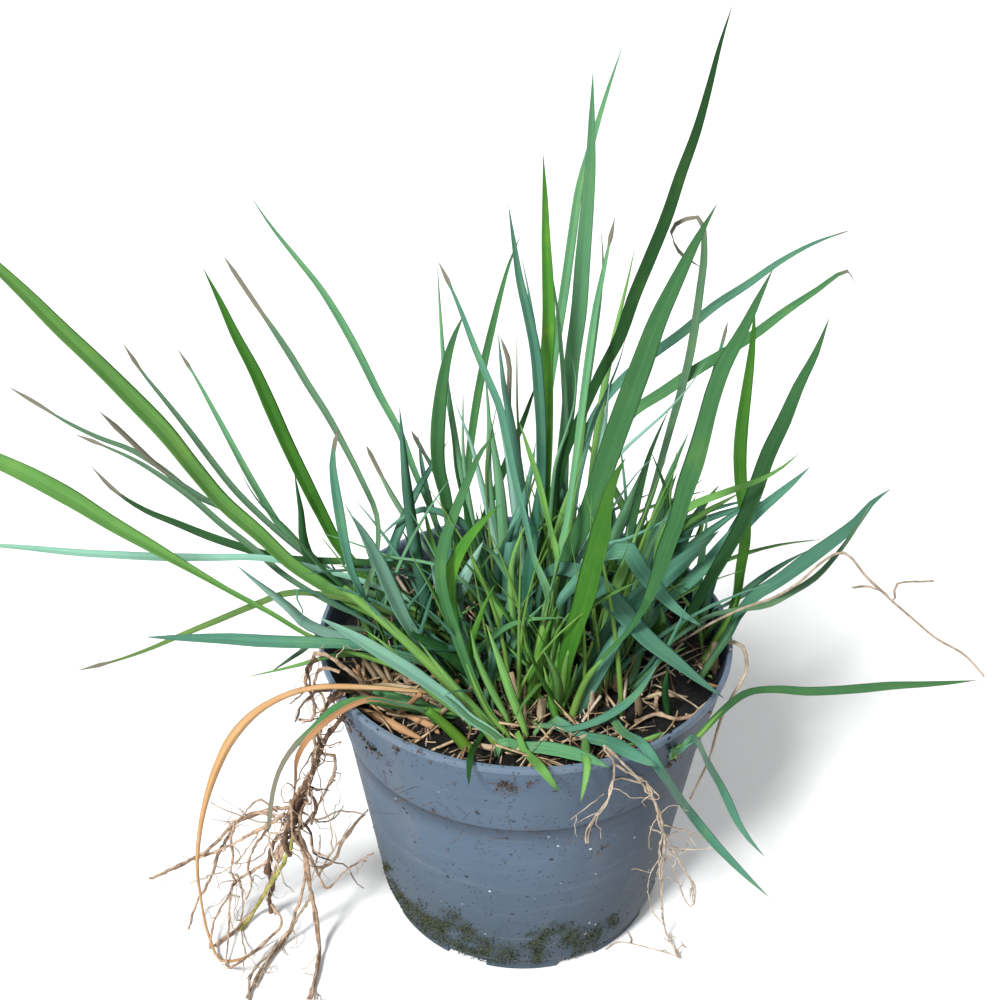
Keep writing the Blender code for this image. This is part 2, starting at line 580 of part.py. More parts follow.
def strand_mesh(path, radii, extra=0.0, sides=STRAND_SIDES):
    """A tapering tube with closed ends."""
    way = directions(path)
    first = carried_across(way)
    second = np.cross(way, first)
    points = []
    for centre, radius, a, b in zip(path, radii, first, second):
        for side in range(sides):
            turn = math.tau * side / sides
            points.append(centre + (radius + extra) * (a * math.cos(turn) + b * math.sin(turn)))
    faces = ring_faces(len(path), sides)
    faces.append(tuple(reversed(range(sides))))
    faces.append(tuple(range(len(points) - sides, len(points))))
    return points, faces


def ring_faces(rings, sides):
    """The four-sided faces between one ring of points and the next."""
    faces = []
    for ring in range(rings - 1):
        for side in range(sides):
            low, after = ring * sides + side, ring * sides + (side + 1) % sides
            faces.append((low, after, after + sides, low + sides))
    return faces


# ---------------------------------------------------------------- finding room


class Room:
    """The pieces that are in place, and how a new piece is eased forward until it is clear of them."""

    def __init__(self):
        """Starts with no piece in place."""
        self.points, self.faces = [], []

    def add(self, points, faces):
        """Notes the points and faces of a piece that is in place."""
        base = len(self.points)
        self.points += [Vector(point) for point in points]
        self.faces += [[base + corner for corner in face] for face in faces]

    def settle(self, path, make, sides, fixed=False, step=0.0006, passes=220):
        """Moves the parts of the path that touch towards the eye, or level with the soil by the root.

        A fixed path keeps its first point, which lies inside the piece that it grows from.
        """
        tree = BVHTree.FromPolygons(self.points, self.faces, epsilon=0.0)
        path = path.copy()
        count = len(path)
        rings = np.arange(count)
        for _ in range(passes):
            points, faces = make(path)
            tight = BVHTree.FromPolygons([Vector(point) for point in points], faces, epsilon=0.0)
            touched = {min(corner for corner in faces[mine]) // sides
                       for mine, _other in tight.overlap(tree)}
            behind = self.hidden(tree, path) if sides == 4 and not fixed else []
            push = np.zeros(count)
            for ring in touched:
                push = np.maximum(push, step * np.exp(-(((rings - ring - 0.5) / 1.5) ** 2)))
            for ring, far in behind:
                push = np.maximum(push, (far + step) * np.exp(-(((rings - ring) / 1.8) ** 2)))
            if not push.any():
                break
            ways = np.array(EYE) - path
            ways /= np.linalg.norm(ways, axis=1, keepdims=True)
            away = np.clip(rings / 2.5, 0.0, 1.0)
            if fixed:
                push *= away
                path += push[:, None] * ways
                continue
            level = (1.0 - away)[:, None] * np.array((0.0, -1.0, 0.0))
            path += push[:, None] * (ways * away[:, None] + level)
        return path

    def hidden(self, tree, path, reach=0.012):
        """The rings with a piece closely in front of them, and how far in front it is."""
        found = []
        for ring in range(2, len(path)):
            centre = Vector(path[ring])
            way = (EYE - centre).normalized()
            hit = tree.ray_cast(centre + way * 1e-5, way, reach)
            if hit[0] is not None:
                found.append((ring, hit[3]))
        return found


def mesh_parts(item):
    """The points and faces of an object as its modifiers leave it."""
    graph = bpy.context.evaluated_depsgraph_get()
    mesh = item.evaluated_get(graph).to_mesh()
    points = [item.matrix_world @ vertex.co for vertex in mesh.vertices]
    return points, [list(face.vertices) for face in mesh.polygons]


def build_blade(room, name, width_mm, tip_back, finish_name, trace):
    """A single blade with its root on the soil."""
    width = width_mm / 1000
    rings = max(min(BLADE_RINGS, len(trace) + 3), len(trace) - 1)
    path = blade_path(trace, tip_back, rings + 1)
    path = room.settle(path, lambda line: blade_mesh(line, width, CLEARANCE), 4)
    points, faces = blade_mesh(path, width)
    room.add(points, faces)
    add_object(name, points, faces, finish_name)


def join_branches(item, branches, finish_name):
    """Joins pieces that grow from this one to it. Each branch is the points and faces of a mesh."""
    helpers = []
    for index, (points, faces) in enumerate(branches):
        branch = add_object(f"{item.name}_branch_{index + 1}", points, faces, finish_name)
        helpers.append(branch)
        union = item.modifiers.new(f"branch_{index + 1}", "BOOLEAN")
        union.operation = "UNION"
        union.solver = "EXACT"
        union.use_self = True
        union.object = branch
    bpy.context.view_layer.update()
    joined = item.evaluated_get(bpy.context.evaluated_depsgraph_get())
    item.data = bpy.data.meshes.new_from_object(joined)
    item.modifiers.clear()
    for helper in helpers:
        bpy.data.objects.remove(helper, do_unlink=True)
    keep_largest_body(item.data)


def keep_largest_body(mesh):
    """Leaves out the slivers that the joins of a mesh cut loose."""
    work = bmesh.new()
    work.from_mesh(mesh)
    bmesh.ops.remove_doubles(work, verts=work.verts, dist=WELD)
    bmesh.ops.triangulate(work, faces=work.faces)
    work.faces.index_update()
    neighbours = [[near.index for edge in face.edges if len(edge.link_faces) == 2
                   for near in edge.link_faces] for face in work.faces]
    body_of = [None] * len(neighbours)
    sizes = []
    for first in range(len(neighbours)):
        if body_of[first] is not None:
            continue
        reached, size = [first], 0
        body_of[first] = len(sizes)
        while reached:
            size += 1
            for near in neighbours[reached.pop()]:
                if body_of[near] is None:
                    body_of[near] = len(sizes)
                    reached.append(near)
        sizes.append(size)
    largest = sizes.index(max(sizes))
    loose = [face for face, body in zip(work.faces, body_of) if body != largest]
    bmesh.ops.delete(work, geom=loose, context="FACES")
    work.to_mesh(mesh)
    work.free()


def branch_path(trunk, share, trace, end_back, count):
    """A path that starts inside its trunk, at this share of the way along, and ends at its trace's end."""
    place = np.linspace(0.0, 1.0, len(trunk))
    start = np.array([np.interp(share, place, trunk[:, axis]) for axis in range(3)])
    knots = [start]
    for spot, along in zip(trace, trace_shares(trace)):
        lean = along**LEAN_POWER
        knots.append(at_back(spot, start[1] + (end_back / 1000 - start[1]) * lean))
    return smooth_curve(knots, count)


def build_shoot(room, name, root_mm, top_mm, top_back, finish_name, trace, blades):
    """A culm on the soil with the small blades that grow from it, as one piece."""
    count = len(trace) + 3
    radii = np.linspace(root_mm, top_mm, count) / 1000
    trunk = blade_path(trace, top_back, count)
    trunk = room.settle(trunk, lambda line: strand_mesh(line, radii, CLEARANCE), STRAND_SIDES)
    shoot = add_object(name, *strand_mesh(trunk, radii), finish_name)
    branches = []
    for share, width_mm, tip_back, blade_trace in blades:
        width = width_mm / 1000
        path = branch_path(trunk, share, blade_trace[::-1], tip_back, BLADE_RINGS + 1)

        def fat_blade(line, width=width):
            """The small blade with the clearance round it."""
            return blade_mesh(line, width, CLEARANCE)

        path = room.settle(path, fat_blade, 4, fixed=True)
        branches.append(blade_mesh(path, width))
    join_branches(shoot, branches, finish_name)
    room.add(*mesh_parts(shoot))


def build_strand(room, name, start_mm, end_mm, start_back, end_back, finish_name, trace, branches):
    """A round dry piece with the thinner pieces that branch off it, as one piece."""
    count = min(MOST_STRAND_RINGS, len(trace) + 2)
    radii = np.linspace(start_mm, end_mm, count) / 1000
    trunk = strand_path(trace, start_back, end_back, radii[0], count)
    trunk = room.settle(trunk, lambda line: strand_mesh(line, radii, CLEARANCE), STRAND_SIDES)
    strand = add_object(name, *strand_mesh(trunk, radii), finish_name)
    meshes = []
    for share, first_mm, last_mm, back, branch_trace in branches:
        count = len(branch_trace) + 3
        thin = np.linspace(first_mm, last_mm, count) / 1000
        path = branch_path(trunk, share, branch_trace, back, count)

        def fat_strand(line, thin=thin):
            """The branch with the clearance round it."""
            return strand_mesh(line, thin, CLEARANCE)

        path = room.settle(path, fat_strand, STRAND_SIDES, fixed=True)
        meshes.append(strand_mesh(path, thin))
    join_branches(strand, meshes, finish_name)
    room.add(*mesh_parts(strand))


def main():
    """Clears the scene, then adds the pot, the soil and the plant from the back to the front."""
    for item in list(bpy.data.objects):
        bpy.data.objects.remove(item, do_unlink=True)
    room = Room()
    pot, soil = build_pot(), build_soil()
    bpy.context.view_layer.update()
    room.add(*mesh_parts(pot))
    room.add(*mesh_parts(soil))
    for shoot in SHOOTS[:1]:
        build_shoot(room, *shoot)
    for blade in BLADES[:FRONT_FROM]:
        build_blade(room, *blade)
    for shoot in SHOOTS[1:]:
        build_shoot(room, *shoot)
    build_strand(room, *STRANDS[0])
    for blade in BLADES[FRONT_FROM:] + DRY_BLADES:
        build_blade(room, *blade)
    for strand in STRANDS[1:]:
        build_strand(room, *strand)


main()
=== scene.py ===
"""The looks of a clump of ornamental grass in a nursery pot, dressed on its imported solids."""

import heapq
import json
import logging
import math
from collections import defaultdict
from dataclasses import dataclass, field
from enum import Enum

import bmesh
import bpy
import numpy as np
from mathutils import Matrix, Vector, noise

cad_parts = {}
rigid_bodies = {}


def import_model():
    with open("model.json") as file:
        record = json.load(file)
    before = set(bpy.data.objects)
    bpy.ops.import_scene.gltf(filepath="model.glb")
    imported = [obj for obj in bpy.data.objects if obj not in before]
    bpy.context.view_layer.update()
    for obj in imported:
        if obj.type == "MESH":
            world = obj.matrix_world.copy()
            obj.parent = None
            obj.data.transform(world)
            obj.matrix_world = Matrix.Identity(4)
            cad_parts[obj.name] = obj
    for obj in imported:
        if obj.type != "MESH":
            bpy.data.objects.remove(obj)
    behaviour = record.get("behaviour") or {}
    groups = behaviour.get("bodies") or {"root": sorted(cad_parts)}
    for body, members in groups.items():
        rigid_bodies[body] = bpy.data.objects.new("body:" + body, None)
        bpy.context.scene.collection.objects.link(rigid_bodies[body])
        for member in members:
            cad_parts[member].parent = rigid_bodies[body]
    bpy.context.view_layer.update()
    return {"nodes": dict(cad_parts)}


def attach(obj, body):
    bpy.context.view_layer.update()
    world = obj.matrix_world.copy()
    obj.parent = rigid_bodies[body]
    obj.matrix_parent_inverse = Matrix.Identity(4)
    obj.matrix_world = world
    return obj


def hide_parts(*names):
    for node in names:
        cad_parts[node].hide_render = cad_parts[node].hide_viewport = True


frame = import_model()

log = logging.getLogger("grass")
BODY = "root"

Colour = tuple[float, float, float]
Spot = tuple[float, float]
Point = tuple[float, float, float]
Array = np.ndarray
Random = np.random.Generator
Socket = bpy.types.NodeSocket
Item = bpy.types.Object
Material = bpy.types.Material
Shapes = bpy.types.Collection


# ---- the viewpoint


@dataclass(frozen=True)
class Viewpoint:
    """The place that the photograph was taken from, and lines of sight through its picture points."""

    eye: Point = (-0.0123, -0.4815, 0.5184)
    look_down: float = math.radians(31.67)
    roll: float = math.radians(0.5)
    focal: float = 1300.0
    picture: float = 1000.0
    sensor_mm: float = 36.0

    def axes(self) -> tuple[Vector, Vector, Vector]:
        """The picture's right, up and forward directions in space.

        Returns:
            Three directions, each at a length of one.
        """
        forward = Vector((0.0, math.cos(self.look_down), -math.sin(self.look_down)))
        level = Vector((1.0, 0.0, 0.0))
        upright = level.cross(forward)
        turn, rise = math.cos(self.roll), math.sin(self.roll)
        return level * turn + upright * rise, upright * turn - level * rise, forward

    def sight(self, spot: Spot) -> Vector:
        """The direction from the eye through a picture point.

        Args:
            spot: the picture point.

        Returns:
            The direction, longer than one.
        """
        right, up, forward = self.axes()
        middle = self.picture / 2
        return forward * self.focal + right * (spot[0] - middle) - up * (spot[1] - middle)

    def on_height(self, spot: Spot, height: float) -> Vector:
        """The point of a line of sight at this height."""
        way = self.sight(spot)
        return Vector(self.eye) + way * ((height - self.eye[2]) / way.z)

    def at_back(self, spot: Spot, back: float) -> Vector:
        """The point of a line of sight at this distance back from the pot's axis."""
        way = self.sight(spot)
        return Vector(self.eye) + way * ((back - self.eye[1]) / way.y)

    def spots(self, points: Array) -> Array:
        """The picture points of points in space.

        Args:
            points: one point in space a row.

        Returns:
            One picture point a row.
        """
        right, up, forward = (np.array(axis) for axis in self.axes())
        rays = points - np.array(self.eye)
        scale = self.focal / (rays @ forward)
        middle = self.picture / 2
        return np.stack([middle + rays @ right * scale, middle - rays @ up * scale], axis=1)

    def make_camera(self) -> None:
        """Puts the scene's camera at the viewpoint."""
        camera = bpy.data.cameras.new("camera")
        camera.sensor_width = self.sensor_mm
        camera.lens = self.sensor_mm * self.focal / self.picture
        camera.clip_start, camera.clip_end = 0.01, 50.0
        right, up, forward = self.axes()
        turned = Matrix((right, up, -forward)).transposed().to_4x4()
        item = in_scene("camera", camera)
        item.matrix_world = Matrix.Translation(Vector(self.eye)) @ turned
        bpy.context.scene.camera = item


VIEW = Viewpoint()


def in_scene(name: str, data: bpy.types.ID) -> Item:
    """A new object of this data, linked to the scene.

    Args:
        name: the object's name.
        data: what it shows.

    Returns:
        The object.
    """
    item = bpy.data.objects.new(name, data)
    bpy.context.scene.collection.objects.link(item)
    return item


# ---- node trees and materials


class Wiring:
    """A node tree that is built from short calls."""

    def __init__(self, tree: bpy.types.NodeTree) -> None:
        """Starts with a tree."""
        self.tree = tree

    def node(self, kind: str, inputs: dict | None = None, **settings: object) -> bpy.types.Node:
        """Adds a node.

        Args:
            kind: the kind of node.
            inputs: what goes into its inputs, by name or number.
            settings: its properties.

        Returns:
            The node.
        """
        made = self.tree.nodes.new(kind)
        for name, value in settings.items():
            setattr(made, name, value)
        for name, value in (inputs or {}).items():
            self.fill(made.inputs[name], value)
        return made

    def fill(self, socket: Socket, value: object) -> None:
        """Links a socket to an input, or sets the input.

        Args:
            socket: the input.
            value: the socket that feeds it, or its own number, colour or name.
        """
        if isinstance(value, Socket):
            self.tree.links.new(value, socket)
        elif isinstance(value, tuple) and len(value) == 3 and len(socket.default_value) == 4:
            socket.default_value = (*value, 1.0)
        else:
            socket.default_value = value

    def sum(self, operation: str, first: object, second: object = 0.0) -> Socket:
        """The result of one operation on two numbers."""
        return self.node("ShaderNodeMath", {0: first, 1: second}, operation=operation).outputs[0]

    def times(self, first: object, second: object) -> Socket:
        """One number times another."""
        return self.sum("MULTIPLY", first, second)

    def plus(self, first: object, second: object) -> Socket:
        """One number and another together."""
        return self.sum("ADD", first, second)


class Shader(Wiring):
    """One Principled material, whose colour is covered layer by layer."""

    def __init__(self, name: str, roughness: float, specular: float = 0.5) -> None:
        """Starts a material.

        Args:
            name: the material's name.
            roughness: how rough it is where nothing else says so.
            specular: the level of its plain reflection.
        """
        self.colour: object = (0.80, 0.80, 0.80)
        self.material = bpy.data.materials.new(name)
        self.material.use_nodes = True
        super().__init__(self.material.node_tree)
        self.principled = self.tree.nodes["Principled BSDF"]
        self.principled.inputs["Roughness"].default_value = roughness
        self.principled.inputs["Specular IOR Level"].default_value = specular

    def attribute(self, name: str) -> Socket:
        """The number that the mesh holds under this name."""
        return self.node("ShaderNodeAttribute", attribute_name=name).outputs["Fac"]

    def place(self, scale: Point = (1.0, 1.0, 1.0)) -> Socket:
        """Object coordinates, stretched by these amounts."""
        here = self.node("ShaderNodeTexCoord").outputs["Object"]
        return self.node("ShaderNodeMapping", {"Vector": here, "Scale": scale}).outputs["Vector"]

    def joined(self, *numbers: object) -> Socket:
        """A vector of three numbers."""
        return self.node("ShaderNodeCombineXYZ", dict(enumerate(numbers))).outputs[0]

    def noise(self, vector: Socket, scale: float, detail: float = 4.0, rough: float = 0.6) -> Socket:
        """A noise pattern from 0 to 1."""
        inputs = {"Vector": vector, "Scale": scale, "Detail": detail, "Roughness": rough}
        return self.node("ShaderNodeTexNoise", inputs).outputs["Fac"]

    def cells(self, vector: Socket, scale: float) -> Socket:
        """The distance from the middle of scattered cells."""
        return self.node("ShaderNodeTexVoronoi", {"Vector": vector, "Scale": scale}).outputs["Distance"]

    def between(self, value: object, low: float, high: float) -> Socket:
        """A soft step: 0 where the value is at low, 1 where it is at high."""
        inputs = {"Value": value, "From Min": low, "From Max": high}
        return self.node("ShaderNodeMapRange", inputs, interpolation_type="SMOOTHSTEP").outputs["Result"]

    def patches(self, scale: float, detail: float, low: float, high: float) -> Socket:
        """A mask of patches: 0 where a noise pattern is at low, 1 where it is at high."""
        return self.between(self.noise(self.place(), scale, detail), low, high)

    def mix(self, share: object, first: object, second: object) -> Socket:
        """A mix of two colours."""
        return self.node("ShaderNodeMix", {0: share, 6: first, 7: second}, data_type="RGBA").outputs[2]

    def cover(self, mask: Socket, over: object) -> None:
        """Covers the colour with another one where the mask is."""
        self.colour = self.mix(mask, self.colour, over)

    def layer(self, mask: Socket, strength: object, over: object) -> None:
        """Covers the colour with another one where the mask is, as strongly as this."""
        self.cover(self.times(mask, strength), over)

    def ramp(self, value: object, *stops: tuple[float, Colour]) -> Socket:
        """A row of colours along a number.

        Args:
            value: the number.
            stops: the place and the colour of each stop.

        Returns:
            The colour.
        """
        made = self.node("ShaderNodeValToRGB", {"Fac": value})
        elements = made.color_ramp.elements
        while len(elements) < len(stops):
            elements.new(0.5)
        for element, (place, colour) in zip(elements, stops):
            element.position, element.color = place, (*colour, 1.0)
        return made.outputs["Color"]

    def finish(self, height: Socket | None = None, strength: float = 0.5, distance: float = 0.001,
               roughness: Socket | None = None) -> Material:
        """Links the colour, height and roughness.

        Args:
            height: the pattern of its bumps, if it has any.
            strength: how strong the bumps are.
            distance: how high they are in metres.
            roughness: a roughness that varies, if it does.

        Returns:
            The material.
        """
        self.fill(self.principled.inputs["Base Color"], self.colour)
        if roughness is not None:
            self.fill(self.principled.inputs["Roughness"], roughness)
        if height is not None:
            bump = self.node("ShaderNodeBump", {"Strength": strength, "Distance": distance, "Height": height})
            self.fill(self.principled.inputs["Normal"], bump.outputs["Normal"])
        return self.material


def seen(red: int, green: int, blue: int) -> Colour:
    """The finish that the stage's light turns into this colour of a picture."""
    return tuple(((level / 255 + 0.055) / 1.055) ** 2.4 for level in (red, green, blue))


@dataclass(frozen=True)
class LeafTone:
    """The colours of one kind of leaf: its upper face, its under face, its foot and its tip."""

    upper: Colour
    under: Colour
    foot: Colour
    tip: Colour
    roughness: float = 0.52


class Leaf(Enum):
    """The kinds of leaf in the clump, alive and dead."""

    VIVID = LeafTone(seen(66, 128, 40), seen(86, 142, 58), seen(142, 178, 58), seen(58, 102, 40))
    FRESH = LeafTone(seen(104, 160, 78), seen(120, 170, 96), seen(156, 188, 78), seen(94, 136, 80))
    MID = LeafTone(seen(67, 122, 71), seen(84, 138, 90), seen(136, 174, 72), seen(72, 110, 74))
    SOFT = LeafTone(seen(94, 152, 105), seen(112, 164, 124), seen(144, 180, 84), seen(92, 134, 104))
    BLUE = LeafTone(seen(76, 132, 107), seen(102, 154, 134), seen(130, 172, 80), seen(88, 128, 108))
    DUSK = LeafTone(seen(50, 106, 82), seen(74, 130, 108), seen(116, 156, 78), seen(60, 104, 84))
    PALE_BLUE = LeafTone(seen(130, 183, 158), seen(148, 190, 176), seen(144, 184, 112), seen(134, 170, 154))
    DEEP = LeafTone(seen(30, 76, 32), seen(42, 90, 48), seen(100, 138, 52), seen(38, 72, 40))
    GREY = LeafTone(seen(84, 122, 90), seen(104, 136, 108), seen(130, 162, 88), seen(116, 124, 110))
    OLIVE = LeafTone(seen(92, 126, 64), seen(108, 138, 82), seen(150, 168, 78), seen(118, 116, 72))
    STRAW = LeafTone(seen(222, 166, 106), seen(216, 170, 120), seen(214, 192, 152), seen(150, 108, 74), 0.7)
    RUST = LeafTone(seen(196, 146, 102), seen(206, 164, 122), seen(172, 134, 98), seen(112, 78, 54), 0.75)
    DRIED = LeafTone(seen(190, 164, 132), seen(202, 182, 152), seen(164, 138, 108), seen(120, 94, 70), 0.78)


VIVID, FRESH, MID, SOFT, BLUE, DUSK, PALE_BLUE, DEEP, GREY, OLIVE, STRAW, RUST, DRIED = Leaf
DEAD_ROUGHNESS = 0.6


def leaf_material(kind: Leaf) -> Material:
    """The finish of a kind of leaf: fine veins and streaks along it, a thin midrib, a dry tip, painted shade
    on one half of its fold, and each blade darkened by its shade.

    Args:
        kind: the kind of leaf.

    Returns:
        The material, made on first use.
    """
    name = f"leaf_{kind.name.lower()}"
    if name in bpy.data.materials:
        return bpy.data.materials[name]
    tone = kind.value
    dark = tuple(0.45 * level for level in tone.upper)
    shader = Shader(name, tone.roughness, 0.16)
    along, across, tint, under, dry = (
        shader.attribute(part) for part in ("along", "across", "tint", "under", "dry"))
    if tone.roughness > DEAD_ROUGHNESS:
        stops, streaky, patchy = (0.26, 0.42, 0.54, 0.76), 0.75, 0.8
    else:
        stops, streaky, patchy = (0.0, 0.24, 0.86, 1.0), 0.5, 0.28
    shader.colour = shader.ramp(along, *zip(stops, (tone.foot, tone.upper, tone.upper, tone.tip)))
    shader.layer(under, 0.8, tone.under)
    flow = shader.joined(shader.times(across, 4.2), shader.times(along, 2.0), shader.times(tint, 9.0))
    streaks = shader.noise(flow, 1.7, 6.0, 0.65)
    patches = shader.noise(shader.place(), 60.0, 4.0)
    shader.layer(shader.between(streaks, 0.62, 0.38), streaky, dark)
    shader.layer(shader.between(patches, 0.46, 0.8), patchy, tone.foot)
    shader.layer(shader.between(patches, 0.5, 0.24), 0.30, dark)
    ribs = shader.times(shader.plus(shader.sum("SINE", shader.times(across, 44.0)), 1.0), 0.5)
    shader.layer(ribs, 0.22, tone.under)
    # painted shade: the half of the blade past its midrib is painted darker, as the shaded side of its fold
    shader.layer(shader.between(across, -0.10, 0.10), 0.20, dark)
    reach = shader.sum("ABSOLUTE", across)
    shader.layer(shader.between(reach, 0.09, 0.02), 0.32, tone.under)
    shader.layer(shader.between(reach, 0.84, 1.0), 0.35, tone.under)
    # painted shade: each blade is darkened by its shade, partly its own darker tone and partly painted shade
    # where it stands in shadow
    shader.layer(shader.between(tint, -1.0, 1.0), 0.65, dark)
    blotch = shader.noise(shader.place(), 220.0, 3.0)
    edge = shader.plus(dry, shader.times(shader.sum("SUBTRACT", blotch, 0.5), 0.5))
    withered = shader.ramp(shader.noise(flow, 3.0, 5.0), (0.2, seen(70, 66, 56)), (0.5, seen(112, 110, 94)),
                           (0.8, seen(154, 152, 132)))
    shader.cover(shader.between(edge, 0.25, 0.75), withered)
    return shader.finish(shader.plus(shader.times(ribs, 0.5), streaks), 0.4, 0.0004)


@dataclass(frozen=True)
class RootTone:
    """The light and dark colours of a root or stalk."""

    light: Colour
    dark: Colour
    roughness: float = 0.85


class Stem(Enum):
    """The kinds of root and stalk."""

    ROOT = RootTone(seen(184, 158, 134), seen(104, 80, 62))
    PALE_ROOT = RootTone(seen(192, 176, 156), seen(134, 116, 98))
    DARK_ROOT = RootTone(seen(112, 86, 68), seen(50, 38, 30))
    STALK = RootTone(seen(176, 160, 138), seen(118, 104, 88), 0.7)
    THATCH = RootTone(seen(200, 176, 142), seen(138, 110, 82), 0.8)
    BROWN_THATCH = RootTone(seen(136, 108, 82), seen(70, 54, 42), 0.85)
    OLIVE_ROOT = RootTone(seen(168, 164, 88), seen(112, 108, 56), 0.7)


ROOT, PALE_ROOT, DARK_ROOT, STALK, THATCH, BROWN_THATCH, OLIVE_ROOT = Stem


def stem_material(kind: Stem) -> Material:
    """The finish of a kind of root or stalk: mottled, with lighter patches and fine bumps.

    Args:
        kind: the kind of root or stalk.

    Returns:
        The material, made on first use.
    """
    name = f"stem_{kind.name.lower()}"
    if name in bpy.data.materials:
        return bpy.data.materials[name]
    tone = kind.value
    shader = Shader(name, tone.roughness, 0.25)
    mottle = shader.noise(shader.place(), 190.0, 6.0, 0.7)
    shader.colour = shader.mix(shader.between(mottle, 0.35, 0.65), tone.dark, tone.light)
    shader.layer(shader.patches(38.0, 3.0, 0.4, 0.7), 0.45, tone.light)
    return shader.finish(mottle, 0.6, 0.0006)


# ---- meshes


def circle(radius: float, height: float, sides: int) -> list[Point]:
    """A ring of points round the pot's axis."""
    turns = (math.tau * side / sides for side in range(sides))
    return [(radius * math.cos(turn), radius * math.sin(turn), height) for turn in turns]


def band(low: int, high: int, sides: int, flip: bool = False) -> list[tuple[int, ...]]:
    """The faces between two rings of points.

    Args:
        low: the number of the first ring's first point.
        high: the number of the second ring's first point.
        sides: how many points a ring has.
        flip: whether the faces look the other way.

    Returns:
        One face for each side.
    """
    faces = []
    for side in range(sides):
        after = (side + 1) % sides
        face = (low + side, low + after, high + after, high + side)
        faces.append((face[0], *reversed(face[1:])) if flip else face)
    return faces


def put_numbers(mesh: bpy.types.Mesh, name: str, values: list[float]) -> None:
    """Keeps a number at each point of a mesh under a name."""
    made = mesh.attributes.new(name, "FLOAT", "POINT")
    made.data.foreach_set("value", np.array(values, np.float32))


@dataclass
class MeshData:
    """Points, faces and the numbers that a material reads at each point."""

    points: list = field(default_factory=list)
    faces: list = field(default_factory=list)
    numbers: dict = field(default_factory=dict)

    def add(self, other: "MeshData") -> None:
        """Adds another mesh to this one.

        Args:
            other: the mesh, whose missing numbers count as 0.
        """
        base = len(self.points)
        for name in sorted({*self.numbers, *other.numbers}):
            mine = self.numbers.setdefault(name, [0.0] * base)
            mine.extend(other.numbers.get(name, [0.0] * len(other.points)))
        self.points += [tuple(point) for point in other.points]
        self.faces += [tuple(base + corner for corner in face) for face in other.faces]

    def mesh(self, name: str) -> bpy.types.Mesh:
        """The points and faces as a Blender mesh, without the numbers.

        Args:
            name: the mesh's name.

        Returns:
            The mesh.
        """
        made = bpy.data.meshes.new(name)
        made.from_pydata([tuple(map(float, point)) for point in self.points], [], self.faces)
        return made

    def build(self, name: str, material: Material, outwards: bool = True) -> Item:
        """Makes a smooth object of the mesh.

        Args:
            name: the object's name.
            material: its finish.
            outwards: whether its faces still have to be turned outwards.

        Returns:
            The object, linked to the scene.
        """
        mesh = self.mesh(name)
        for part, values in self.numbers.items():
            put_numbers(mesh, part, values)
        if outwards:
            work = bmesh.new()
            work.from_mesh(mesh)
            bmesh.ops.recalc_face_normals(work, faces=work.faces)
            work.to_mesh(mesh)
            work.free()
        mesh.materials.append(material)
        mesh.shade_smooth()
        return in_scene(name, mesh)


def bake(item: Item) -> None:
    """Keeps what an object's modifiers make of it as its plain mesh.

    Args:
        item: the object.
    """
    bpy.context.view_layer.update()
    made = item.evaluated_get(bpy.context.evaluated_depsgraph_get())
    item.data = bpy.data.meshes.new_from_object(made)
    item.modifiers.clear()


def unit(vectors: Array) -> Array:
    """Each vector at a length of one."""
    return vectors / np.maximum(np.linalg.norm(vectors, axis=-1, keepdims=True), 1e-12)


def ways(line: Array) -> Array:
    """The direction of a line at each of its points."""
    return unit(np.gradient(line, axis=0))


def square(vectors: Array, way: Array) -> Array:
    """Each vector turned square to its way, at a length of one."""
    return unit(vectors - way * np.sum(vectors * way, axis=1, keepdims=True))


def smooth_line(knots: Array, count: int) -> tuple[Array, Array]:
    """Even points along a smooth curve through the knots.

    Args:
        knots: the points that the curve goes through, one a row.
        count: how many points to return.

    Returns:
        The points, and for each one its place among the knots, from 0 to the last knot's number.
    """
    knots = np.asarray(knots, float)
    ends = np.concatenate([[2 * knots[0] - knots[1]], knots, [2 * knots[-1] - knots[-2]]])
    steps = np.linspace(0.0, 1.0, 10, endpoint=False)[:, None]
    fine, places = [], []
    for index in range(len(knots) - 1):
        a, b, c, d = ends[index:index + 4]
        fine.append(0.5 * (2 * b + (c - a) * steps + (2 * a - 5 * b + 4 * c - d) * steps**2
                           + (3 * b - a - 3 * c + d) * steps**3))
        places.append(index + steps[:, 0])
    fine = np.concatenate([*fine, knots[-1:]])
    places = np.concatenate([*places, [len(knots) - 1]])
    along = np.concatenate([[0.0], np.cumsum(np.linalg.norm(np.diff(fine, axis=0), axis=1))])
    wanted = np.linspace(0.0, along[-1], count)
    line = np.stack([np.interp(wanted, along, fine[:, axis]) for axis in range(3)], axis=1)
    return line, np.interp(wanted, along, places)


# ---- reading the solids


@dataclass
class Limb:
    """The middle line of a blade or root from its foot to its end, with its width at each knot."""

    centres: Array
    sides: Array
    halves: Array
    upwards: Array

    def length(self) -> float:
        """The length of its middle line."""
        return float(np.linalg.norm(np.diff(self.centres, axis=0), axis=1).sum())


